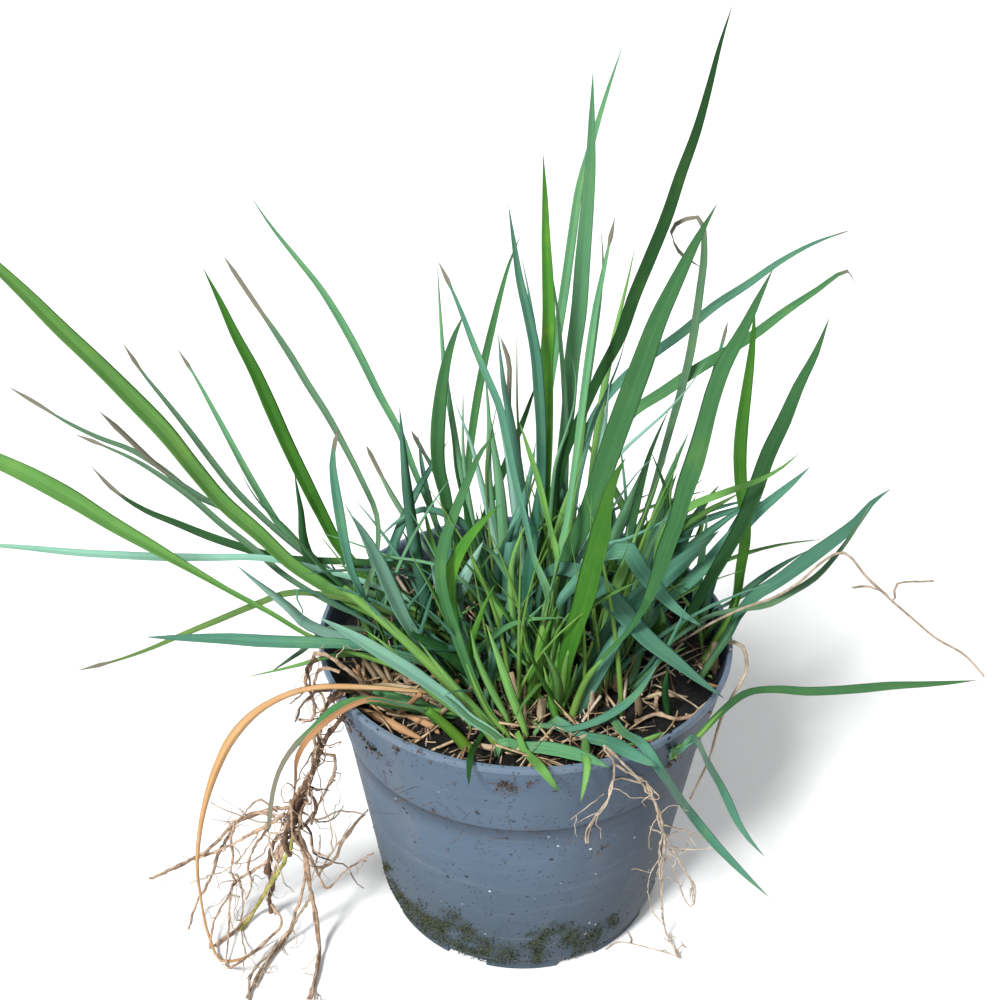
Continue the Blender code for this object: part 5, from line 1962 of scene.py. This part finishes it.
def sheath(line: Array, radii: Array, sides: int = 10) -> MeshData:
    """A round green culm along a line, with what the leaf finish reads.

    Args:
        line: its middle line.
        radii: its radius at each point.
        sides: how many sides it has.

    Returns:
        The closed tube.
    """
    way = ways(line)
    first = [np.cross(way[0], (0.3, 0.2, 0.93))]
    for ahead in way[1:]:
        first.append(first[-1] - ahead * np.dot(first[-1], ahead))
    first = unit(np.array(first))
    second = np.cross(way, first)
    mesh = MeshData()
    across = [0.15 + 0.85 * abs(2.0 * side / sides - 1.0) for side in range(sides)]
    along = []
    for index, (centre, radius) in enumerate(zip(line, radii)):
        for x, y, _ in circle(1.0, 0.0, sides):
            mesh.points.append(tuple(centre + radius * (first[index] * x + second[index] * y)))
            along.append(0.16 * index / (len(line) - 1))
    for ring in range(len(line) - 1):
        mesh.faces += band(ring * sides, (ring + 1) * sides, sides)
    count = len(mesh.points)
    mesh.faces += [tuple(reversed(range(sides))), tuple(range(count - sides, count))]
    mesh.numbers = {"along": along, "across": across * len(line), "under": [0.0] * count,
                    "dry": [0.0] * count, "tint": [0.2] * count}
    return mesh


@dataclass
class Foliage:
    """The green leaves and shoots of the clump, and the dead leaves and stubs between them."""

    peat: Peat
    sink: float = 0.005
    sheathed_from: float = 0.10
    sheath_length: float = 0.045
    blades_a_tuft: int = 3
    culms: int = 26
    stubs: int = 54
    tuft_kinds: tuple[Leaf, ...] = (MID, FRESH, SOFT, FRESH, VIVID, BLUE, SOFT)
    stub_kinds: tuple[Leaf, ...] = (DRIED, RUST, DRIED)

    def sunk(self, limb: Limb) -> Limb:
        """A limb that starts a little deeper, in the peat.

        Args:
            limb: the limb of a solid.

        Returns:
            The longer limb.
        """
        below = limb.centres[0] - np.array((0.0, 0.0, self.sink))
        return Limb(np.concatenate([[below], limb.centres]), np.concatenate([limb.sides[:1], limb.sides]),
                    np.concatenate([limb.halves[:1] * 0.8, limb.halves]),
                    np.concatenate([limb.upwards[:1], limb.upwards]))

    def build(self) -> None:
        """Makes each leaf, each shoot and the extra small leaves."""
        sheaths: dict[Leaf, MeshData] = defaultdict(MeshData)
        for number, (node, how) in enumerate(LEAVES.items()):
            limb = self.sunk(Solid(node).blade())
            blade = MAKER.sweep(limb, how, 1000 + number)
            dress(blade.build(f"{node}_blade", leaf_material(how.kind)), node, slot=SLOTS[how.kind])
            if limb.length() > self.sheathed_from:
                line, _ = smooth_line(limb.centres, 60)
                line = line[:max(6, int(60 * self.sheath_length / limb.length()))]
                radii = np.interp(np.linspace(0.0, 1.0, len(line)), (0.0, 0.75, 1.0), (1.0, 0.8, 0.3))
                radii *= float(np.clip(0.42 * float(limb.halves.max()), 0.0010, 0.0019))
                sheaths[FRESH if SLOTS[how.kind] == "green" else BLUE].add(sheath(line, radii))
        self.dress_kinds("leaf_sheaths", sheaths)
        for number, (node, plan) in enumerate(SHOOTS.items()):
            self.build_shoot(node, plan, 1200 + 10 * number)
        small: dict[Leaf, MeshData] = defaultdict(MeshData)
        for number, leaf in enumerate(SMALL_LEAVES):
            how = look(leaf.kind, leaf.dry, 0.0, 0.8 if leaf.blunt else 0.34)
            small[leaf.kind].add(MAKER.sweep(leaf.limb(self.peat.top), how, 1400 + number))
        for number, leaf in enumerate(LYING_LEAVES):
            how = BladeLook(leaf.kind, 0.0, 0.6, 3.0, 0.1)
            small[leaf.kind].add(MAKER.sweep(leaf.limb(self.peat.top), how, 1600 + number))
        self.add_undergrowth(small)
        self.dress_kinds("small_leaves", small)

    def dress_kinds(self, name: str, kinds: dict[Leaf, MeshData]) -> None:
        """Makes a piece of the mesh of each kind of leaf.

        Args:
            name: what the pieces' names start with.
            kinds: the mesh of each kind.
        """
        for kind, mesh in kinds.items():
            dress(mesh.build(f"{name}_{kind.name.lower()}", leaf_material(kind)), slot=SLOTS[kind])

    def add_undergrowth(self, small: dict[Leaf, MeshData]) -> None:
        """Adds the thin blades, the pale culms and the dead stubs that stand thickly round the crown.

        Args:
            small: the mesh of each kind of leaf, which they are added to.
        """
        random = np.random.default_rng(61)
        share = np.linspace(0.0, 1.0, 9)[:, None]
        for spot in self.peat.tufts:
            for _ in range(self.blades_a_tuft):
                kind, blade = self.tuft_blade(spot, random)
                small[kind].add(blade)
        for _ in range(self.culms):
            foot = (random.uniform(492, 628), random.uniform(640, 728))
            root = np.array(VIEW.on_height(foot, self.peat.top - 0.002))
            way = np.array((random.normal(0.0, 0.10), random.normal(0.05, 0.08), 1.0))
            bend = np.array((random.normal(0.0, 0.02), random.normal(0.0, 0.02), 0.0))
            line = root + way * random.uniform(0.055, 0.12) * share + bend * share**2
            radii = random.uniform(0.0008, 0.0014) * (1.02 - share[:, 0] ** 1.6)
            small[FRESH].add(sheath(line, radii, 8))
        for number in range(self.stubs):
            foot = (random.uniform(350, 640), random.uniform(640, 728))
            root = np.array(VIEW.on_height(foot, self.peat.top - 0.002))
            if math.hypot(root[0], root[1]) > self.peat.edge() - 0.010:
                continue
            way = np.array((random.normal(0.0, 0.35), random.normal(0.0, 0.3), 1.0))
            line = root + way * random.uniform(0.008, 0.026) * share
            radii = random.uniform(0.0007, 0.0018) * (1.0 - 0.25 * share[:, 0] + 0.1 * random.normal(size=9))
            small[self.stub_kinds[number % 3]].add(sheath(line, radii, 8))

    def tuft_blade(self, spot: Spot, random: Random) -> tuple[Leaf, MeshData]:
        """A thin blade that leans out from the middle of a tuft.

        Args:
            spot: the picture point of the tuft's middle.
            random: the source of its place, size and kind.

        Returns:
            The kind of leaf and the blade.
        """
        up = np.array((0.0, 0.0, 1.0))
        share = np.linspace(0.0, 1.0, 9)[:, None]
        root = np.array(VIEW.on_height(spot, self.peat.top)) + (*random.normal(0.0, 0.005, 2), -0.003)
        turn, lean = random.uniform(0.0, math.tau), random.uniform(0.05, 0.55)
        length = random.uniform(0.030, 0.100)
        out = np.array((math.cos(turn), 0.8 * math.sin(turn), 0.0))
        line = root + out * length * lean * share**1.7 + up * length * share * (1 - 0.3 * lean * share)
        way = ways(line)
        face = square(np.tile(0.6 * up - out + random.normal(0.0, 0.5, 3), (9, 1)), way)
        taper = np.minimum(1.0, 0.55 + share[:, 0]) * (1.0 - np.clip(share[:, 0] * 1.8 - 0.8, 0, 1) ** 1.6)
        limb = Limb(line, np.cross(way, face), random.uniform(0.0009, 0.0022) * taper, face)
        kind = self.tuft_kinds[int(random.integers(len(self.tuft_kinds)))]
        return kind, MAKER.sweep(limb, look(kind, 0.0, 0.05, 0.4), int(random.integers(1 << 20)))

    def build_shoot(self, node: str, plan: ShootPlan, seed: int) -> None:
        """Makes one shoot: its culm, and its blades by kind.

        Args:
            node: the solid that it stands for.
            plan: where its parts are.
            seed: the seed of its blades.
        """
        solid = Solid(node)
        ring = 2.6 * plan.radius
        culm = solid.grown(plan.root, plan.top, ring, ring)
        knots = np.concatenate([[culm.centres[0] - np.array((0.0, 0.0, self.sink))], culm.centres[:-1]])
        share = np.linspace(0.0, 1.0, len(knots))
        bends = [np.polyfit(share, knots[:, axis], 2) for axis in range(3)]
        line = np.stack([np.polyval(bend, np.linspace(0.0, 1.0, 14)) for bend in bends], axis=1)
        item = sheath(line, plan.radius * np.linspace(1.05, 0.7, len(line))).build(
            f"{node}_culm", leaf_material(plan.kind))
        dress(item, node, slot=SLOTS[plan.kind])
        for number, (tip, width, kind, dry) in enumerate(plan.blades):
            limb = solid.grown(plan.root, tip, ring, 1.15 * width)
            keep = max(1, len(limb.centres) // 4)
            fixed = Limb(limb.centres[keep:], limb.sides[keep:], np.minimum(limb.halves[keep:], width / 2),
                         limb.upwards[keep:])
            blade = MAKER.sweep(fixed, BladeLook(kind, dry), seed + number)
            dress(blade.build(f"{node}_blade_{number + 1}", leaf_material(kind)), slot=SLOTS[kind])


# ---- roots and dead stalks


@dataclass(frozen=True)
class RootTrace:
    """A root that is traced in the picture, with its radius in millimetres at its start and its end."""

    kind: Stem
    start_mm: float
    end_mm: float
    trace: tuple[Spot, ...]


LEFT_ROOTS = tuple(RootTrace(*row) for row in (
    (ROOT, 1.0, 0.7, ((372, 690), (345, 668), (318, 652), (311, 665), (306, 681), (311, 695), (315, 707),
        (311, 720), (299, 720))),
    (ROOT, 0.8, 0.4, ((340, 672), (322, 668), (314, 682), (322, 695), (324, 707), (312, 716))),
    (DARK_ROOT, 0.9, 0.4, ((332, 690), (318, 690), (308, 698), (300, 708), (296, 722))),
    (DARK_ROOT, 0.7, 0.3, ((318, 660), (306, 668), (310, 684), (302, 694), (290, 704))),
    (DARK_ROOT, 1.1, 0.9, ((376, 692), (356, 704), (341, 720), (327, 736), (321, 752), (314, 764),
        (311, 778), (308, 792), (315, 801), (314, 814), (300, 828), (288, 838))),
    (ROOT, 0.9, 0.6, ((330, 730), (321, 752), (334, 756), (334, 771), (327, 789), (318, 805), (311, 824))),
    (ROOT, 1.3, 1.2, ((318, 760), (304, 784), (293, 805), (287, 822), (285, 842), (276, 860))),
    (DARK_ROOT, 1.2, 1.3, ((310, 776), (298, 800), (291, 822), (284, 840), (290, 856))),
    (ROOT, 1.0, 0.7, ((292, 808), (274, 809), (256, 814), (235, 824), (228, 837), (217, 856), (214, 870),
        (205, 888), (196, 904), (189, 929))),
    (ROOT, 1.0, 0.25, ((285, 814), (269, 824), (251, 834), (235, 843), (219, 850), (201, 857), (173, 867),
        (150, 879))),
    (ROOT, 0.8, 0.5, ((235, 824), (231, 840), (233, 856), (231, 872), (236, 881))),
    (ROOT, 0.9, 0.5, ((285, 838), (269, 860), (251, 872), (237, 881), (228, 897), (219, 911), (212, 929),
        (210, 948))),
    (PALE_ROOT, 0.6, 0.4, ((236, 874), (240, 881), (243, 904), (241, 929), (246, 955))),
    (ROOT, 0.6, 0.4, ((234, 880), (230, 895), (229, 922), (226, 966))),
    (OLIVE_ROOT, 1.1, 0.9, ((292, 836), (290, 849), (279, 870), (267, 890), (253, 913), (240, 930))),
    (DARK_ROOT, 0.8, 1.5, ((284, 830), (274, 842), (269, 860), (267, 872))),
    (DARK_ROOT, 1.7, 1.0, ((267, 868), (273, 883), (269, 899), (272, 911))),
    (ROOT, 0.8, 0.6, ((272, 905), (282, 922), (272, 936), (256, 950), (235, 965), (228, 968))),
    (ROOT, 0.8, 0.4, ((290, 800), (292, 814), (292, 833), (302, 847), (311, 858), (319, 876), (327, 889),
        (347, 870), (373, 853))),
    (PALE_ROOT, 0.6, 0.4, ((319, 876), (331, 853), (345, 835), (357, 821), (366, 814))),
    (ROOT, 0.9, 0.6, ((290, 832), (297, 842), (306, 860), (310, 881), (313, 906), (316, 929), (319, 950),
        (316, 973), (311, 1000))),
    (STALK, 0.8, 0.6, ((312, 893), (310, 899), (299, 915), (285, 941), (274, 952), (262, 961), (251, 975),
        (249, 1000))),
    (STALK, 0.5, 0.4, ((278, 940), (270, 955), (262, 972), (256, 988))),
    (PALE_ROOT, 0.5, 0.3, ((320, 835), (319, 851), (314, 870), (311, 883))),
    (PALE_ROOT, 0.5, 0.3, ((302, 812), (320, 822), (334, 818), (344, 806))),
    (ROOT, 0.6, 0.3, ((276, 812), (262, 800), (250, 806), (241, 818), (224, 824))),
    (ROOT, 0.7, 0.4, ((270, 826), (255, 846), (248, 866), (252, 884), (246, 900))),
    (PALE_ROOT, 0.5, 0.3, ((258, 834), (240, 858), (222, 872), (208, 876), (190, 884))),
))

RIGHT_ROOTS = tuple(RootTrace(*row) for row in (
    (PALE_ROOT, 0.5, 0.3, ((604, 748), (613, 762), (613, 776), (611, 791), (604, 808), (593, 820),
        (586, 832), (586, 843))),
    (PALE_ROOT, 0.25, 0.15, ((604, 794), (592, 803), (580, 812), (571, 819))),
    (PALE_ROOT, 0.55, 0.35, ((614, 764), (631, 774), (644, 780), (649, 790), (656, 805), (659, 823),
        (662, 835), (659, 852), (661, 893), (665, 929), (680, 958))),
    (PALE_ROOT, 0.42, 0.25, ((660, 826), (673, 849), (684, 870), (695, 887), (693, 905), (686, 902),
        (675, 873), (667, 852))),
    (PALE_ROOT, 0.35, 0.2, ((662, 824), (668, 826), (690, 832), (711, 843), (722, 849))),
    (PALE_ROOT, 0.3, 0.2, ((672, 846), (681, 849), (705, 849), (719, 843))),
    (PALE_ROOT, 0.35, 0.2, ((605, 949), (620, 942), (652, 949), (678, 956))),
    (PALE_ROOT, 0.3, 0.2, ((659, 860), (650, 874), (648, 892), (652, 908))),
))

TWIG = ((636, 722), (647, 717), (658, 714), (675, 719), (693, 716), (711, 713))
TWIG_SIDE = ((658, 714), (656, 703), (658, 691))


@dataclass
class Roots:
    """The dead leaf, the dry stalks and the tangles of roots that hang over the rim."""

    pot: Pot
    floor: float = 0.0012
    clear: float = 0.0016
    front: float = -0.1035
    hairiness: float = 0.14
    hub_row: float = 828.0
    cores: int = 3
    hub_roots: int = 10
    bundle_hairs: int = 26
    twig_height: float = 0.1425

    def wander(self, start: Array, way: Array, length: float, random: Random,
               wiggle: float = 0.35, fall: float = 0.12, step: float = 0.004) -> Array:
        """A root's line: it wanders, hangs, keeps off the pot and lies along the floor.

        Args:
            start: where it starts.
            way: the direction that it starts in.
            length: its length.
            random: the source of its turns.
            wiggle: how much it turns at each step.
            fall: how much it is drawn down.
            step: the length of a step.

        Returns:
            Its points.
        """
        here, way = np.array(start, float), unit(np.array(way, float))
        line = [here]
        for _ in range(max(4, int(length / step))):
            way = unit(way + random.normal(0.0, wiggle, 3) * (1.0, 1.0, 0.8) - np.array((0.0, 0.0, fall)))
            here = here + way * step
            if here[2] < self.floor:
                here[2] = self.floor + 0.0006 * random.random()
                way[2] = abs(way[2]) * 0.1
            if here[1] < self.front:
                here[1] = self.front
                way[1] = abs(way[1])
            self.keep_off(here)
            line.append(here.copy())
        return np.array(line)

    def keep_off(self, point: Array) -> None:
        """Moves a point that is inside the pot's wall straight out of it.

        Args:
            point: the point, which is changed in place.
        """
        away = math.hypot(point[0], point[1])
        if point[2] < self.pot.height:
            least = self.pot.radius_at(float(point[2])) + self.clear
            if away < least:
                point[:2] *= least / away

    def traced(self, plan: RootTrace, guide: Array, random: Random) -> Array:
        """The line of a traced root, as far back as the nearest point of the solids' lines.

        Args:
            plan: the trace.
            guide: the points of the solids' lines.
            random: the source of its small kinks.

        Returns:
            Its points.
        """
        shown = VIEW.spots(guide)
        shift = random.normal(0.0, 0.0016)
        knots = []
        for spot in plan.trace:
            near = guide[int(np.argmin(np.linalg.norm(shown - np.array(spot), axis=1)))]
            point = VIEW.at_back(spot, near[1] + shift)
            if point.z < self.floor:
                point = VIEW.on_height(spot, self.floor)
            knots.append(np.array(point))
        length = float(np.linalg.norm(np.diff(knots, axis=0), axis=1).sum())
        line, _ = smooth_line(np.array(knots), max(8, int(length / 0.0022)))
        line += random.normal(0.0, 0.12 * plan.start_mm / 1000 + 0.00008, line.shape)
        for point in line:
            point[2] = max(point[2], self.floor)
            self.keep_off(point)
        return line

    def add_traces(self, plans: tuple[RootTrace, ...], guide: Array, sets: dict[Stem, Strands],
                   hairs: Stem, random: Random) -> None:
        """Adds traced roots, each with knots along it and fine hairs that grow from it.

        Args:
            plans: the traces.
            guide: the points of the solids' lines.
            sets: the strands of each kind, which they are added to.
            hairs: the kind of the fine hairs.
            random: the source of the knots and hairs.
        """
        for plan in plans:
            line = self.traced(plan, guide, random)
            radii = np.linspace(plan.start_mm, plan.end_mm, len(line)) / 1000
            radii *= 1.0 + 0.16 * random.normal(size=len(line))
            sets[plan.kind].add(line, np.clip(radii, 0.00015, 0.0030))
            for _ in range(int(len(line) * self.hairiness)):
                at = int(random.integers(1, len(line) - 1))
                way = unit(line[at + 1] - line[at - 1]) + random.normal(0.0, 0.8, 3)
                made = self.wander(line[at], way, random.uniform(0.004, 0.026), random, 0.45, 0.08, 0.0022)
                sets[hairs].add(made, np.linspace(random.uniform(0.00018, 0.0004), 0.00012, len(made)))

    def solid_lines(self, node: str, start: Spot, ends: tuple[tuple[Spot, float], ...],
                    radius: float) -> list[tuple[Array, Array]]:
        """The lines of a solid, each from its start to one of its ends.

        Args:
            node: the solid.
            start: where it starts in the picture.
            ends: where each line ends in the picture, and its radius there.
            radius: the radius at the start.

        Returns:
            Each line with its radii.
        """
        solid = Solid(node)
        lines = []
        for spot, thin in ends:
            limb = solid.grown(start, spot, 2.4 * radius, 2.6 * thin)
            line, _ = smooth_line(limb.centres, max(12, int(limb.length() / 0.004)))
            lines.append((line, np.linspace(radius, thin, len(line))))
        return lines

    def dress_kinds(self, name: str, sets: dict[Stem, Strands], main: Stem, node: str) -> None:
        """Makes a piece of the strands of each kind.

        Args:
            name: what the pieces' names start with.
            sets: the strands of each kind.
            main: the kind that stands for the solid.
            node: the solid.
        """
        for kind, strands in sets.items():
            item = strands.build(f"{name}_{kind.name.lower()}", kind)
            dress(item, *((node,) if kind is main else ()), slot="root_brown")

    def build_left(self) -> None:
        """The tangle of roots at the left, which hangs from a twisted dark bundle."""
        random = np.random.default_rng(51)
        ends = (((308, 1000), 0.0007), ((214, 946), 0.0008), ((247, 998), 0.0006), ((150, 879), 0.0006),
                ((363, 814), 0.0006))
        lines = self.solid_lines("root_clump", (376, 690), ends, 0.0040)
        sets: dict[Stem, Strands] = defaultdict(Strands)
        trunk = lines[0][0]
        hub_index = int(np.argmin(np.abs(VIEW.spots(trunk)[:, 1] - self.hub_row)))
        bundle = trunk[:hub_index + 1]
        share = np.linspace(0.0, 1.0, len(bundle))
        for number in range(self.cores):
            phase, spin = random.uniform(0.0, math.tau), random.uniform(1.5, 4.0)
            spread = 0.0020 * random.uniform(0.4, 1.15) * (0.6 + 0.5 * share)
            turn = phase + spin * share * 3
            offset = np.stack([np.cos(turn), np.sin(turn), 0.0 * share], 1) * spread[:, None]
            rough = random.normal(0.0, 0.0004, bundle.shape)
            radii = random.uniform(0.0003, 0.0008) * (1.0 + 0.25 * random.normal(size=len(share)))
            kind = DARK_ROOT if number % 3 else ROOT
            sets[kind].add(bundle + offset + rough, np.abs(radii) + 0.0003)
        for line, radii in lines:
            rough = random.normal(0.0, 0.00025, line[hub_index:].shape)
            sets[ROOT].add(line[hub_index:] + rough, np.clip(radii[hub_index:], 0.0004, 0.0008))
        guide = np.concatenate([line for line, _ in lines])
        self.add_traces(LEFT_ROOTS, guide, sets, PALE_ROOT, random)
        for number in range(self.hub_roots):
            way = np.array((random.normal(-0.3, 0.7), random.normal(0.0, 0.3), random.uniform(-1.2, 0.1)))
            line = self.wander(trunk[hub_index] + random.normal(0.0, 0.003, 3), way,
                               random.uniform(0.02, 0.07), random, 0.34, 0.07)
            kind = (ROOT, PALE_ROOT, DARK_ROOT)[number % 3]
            sets[kind].add(line, np.linspace(random.uniform(0.0004, 0.0008), 0.00022, len(line)))
        for _ in range(self.bundle_hairs):
            at = int(random.integers(1, len(bundle)))
            way = random.normal(0.0, 1.0, 3) - np.array((0.15, 0.0, 0.4))
            made = self.wander(bundle[at], way, random.uniform(0.006, 0.026), random, 0.6, 0.1, 0.0022)
            kind = DARK_ROOT if random.random() < 0.6 else ROOT
            sets[kind].add(made, np.linspace(random.uniform(0.0003, 0.0007), 0.00018, len(made)))
        self.dress_kinds("root_tangle", sets, ROOT, "root_clump")

    def build_right(self) -> None:
        """The pale roots that hang over the rim at the right, and the twig that lies near them."""
        random = np.random.default_rng(52)
        ends = (((678, 958), 0.0006), ((587, 843), 0.0006), ((694, 905), 0.0006))
        lines = self.solid_lines("roots_right", (604, 742), ends, 0.0017)
        sets: dict[Stem, Strands] = defaultdict(Strands)
        for line, radii in lines:
            rough = random.normal(0.0, 0.0002, line.shape)
            sets[PALE_ROOT].add(line + rough, np.clip(radii, 0.00025, 0.0004))
        guide = np.concatenate([line for line, _ in lines])
        self.add_traces(RIGHT_ROOTS, guide, sets, PALE_ROOT, random)
        for spots in (TWIG, TWIG_SIDE):
            line, _ = smooth_line(np.array([VIEW.on_height(spot, self.twig_height) for spot in spots]), 18)
            sets[ROOT].add(line, 0.0009 * (1.0 + 0.5 * (np.arange(18) % 6 == 0)))
        self.dress_kinds("side_roots", sets, PALE_ROOT, "roots_right")

    def build_stalks(self) -> None:
        """The dry stalk with its two arms at the right, and the dry straw beside the rim."""
        arms = (((984, 676), 0.0006), ((932, 581), 0.0006), ((852, 588), 0.0006))
        for node, start, ends, radius in (("dry_stalk", (655, 655), arms, 0.0008),
                                          ("dry_straw", (706, 664), (((690, 799), 0.0006),), 0.0013)):
            strands = Strands()
            for line, radii in self.solid_lines(node, start, ends, radius):
                strands.add(line, radii * 0.8)
            dress(strands.build(f"{node}_stem", STALK), node, slot="straw")

    def build_dead_leaf(self) -> None:
        """The long dead leaf that arches over the rim at the left."""
        limb = Solid("dry_leaf_1").grown((432, 690), (283, 924), 0.0036, 0.0014)
        line, _ = smooth_line(limb.centres, 30)
        way = ways(line)
        face = square(unit(np.array(VIEW.eye) - line), way)
        share = np.linspace(0.0, 1.0, len(line))
        halves = np.interp(share, (0.0, 0.14, 0.34, 0.44, 0.56, 0.66, 0.9, 1.0),
                           (0.0009, 0.0013, 0.0020, 0.0020, 0.0011, 0.0008, 0.0006, 0.0003))
        halves *= 1.0 + 0.10 * np.sin(share * 23.0)
        limb = Limb(line, np.cross(way, face), halves, face)
        blade = MAKER.sweep(limb, BladeLook(STRAW, 0.0, 0.7, 2.2), 77)
        dress(blade.build("dead_leaf", leaf_material(STRAW)), "dry_leaf_1", slot="straw")

    def build(self) -> None:
        """Makes all of them."""
        self.build_left()
        self.build_right()
        self.build_stalks()
        self.build_dead_leaf()


# ---- the stage


@dataclass
class Stage:
    """The pale floor and the soft light."""

    floor_radius: float = 6.0
    sky: float = 0.31
    suns: tuple[tuple[str, Point, float, float], ...] = (
        ("key", (-0.50, -0.66, 0.95), 12.0, 4.6),
        ("front", (0.05, -0.85, 0.62), 50.0, 0.75),
        ("back", (0.25, 0.75, 0.80), 40.0, 0.8),
    )

    def build(self) -> None:
        """Makes the floor, the sky and the lamps."""
        work = bmesh.new()
        bmesh.ops.create_circle(work, cap_ends=True, segments=96, radius=self.floor_radius)
        mesh = bpy.data.meshes.new("floor")
        work.to_mesh(mesh)
        work.free()
        mesh.materials.append(Shader("floor_paper", 0.9, 0.2).finish())
        floor = in_scene("floor", mesh)
        world = bpy.data.worlds.new("soft_sky")
        world.use_nodes = True
        background = world.node_tree.nodes["Background"]
        background.inputs["Color"].default_value = (0.95, 0.98, 1.0, 1.0)
        background.inputs["Strength"].default_value = self.sky
        bpy.context.scene.world = world
        for name, way, spread, power in self.suns:
            lamp = bpy.data.lights.new(name, "SUN")
            lamp.angle, lamp.energy = math.radians(spread), power
            in_scene(name, lamp).rotation_euler = (-Vector(way)).to_track_quat("-Z", "Y").to_euler()


def main() -> None:
    """Builds the pot, the peat, the foliage and the roots, and the stage round them."""
    logging.basicConfig(level=logging.INFO, format="%(name)s: %(message)s")
    bpy.context.scene.view_settings.view_transform = "Standard"
    for item in [item for item in bpy.data.objects if item.name in ("Cube", "Light", "Camera")]:
        bpy.data.objects.remove(item, do_unlink=True)
    pot = Pot()
    peat = Peat(pot)
    VIEW.make_camera()
    Stage().build()
    pot.build()
    peat.build()
    Foliage(peat).build()
    Roots(pot).build()
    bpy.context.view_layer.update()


if __name__ == "__main__":
    main()
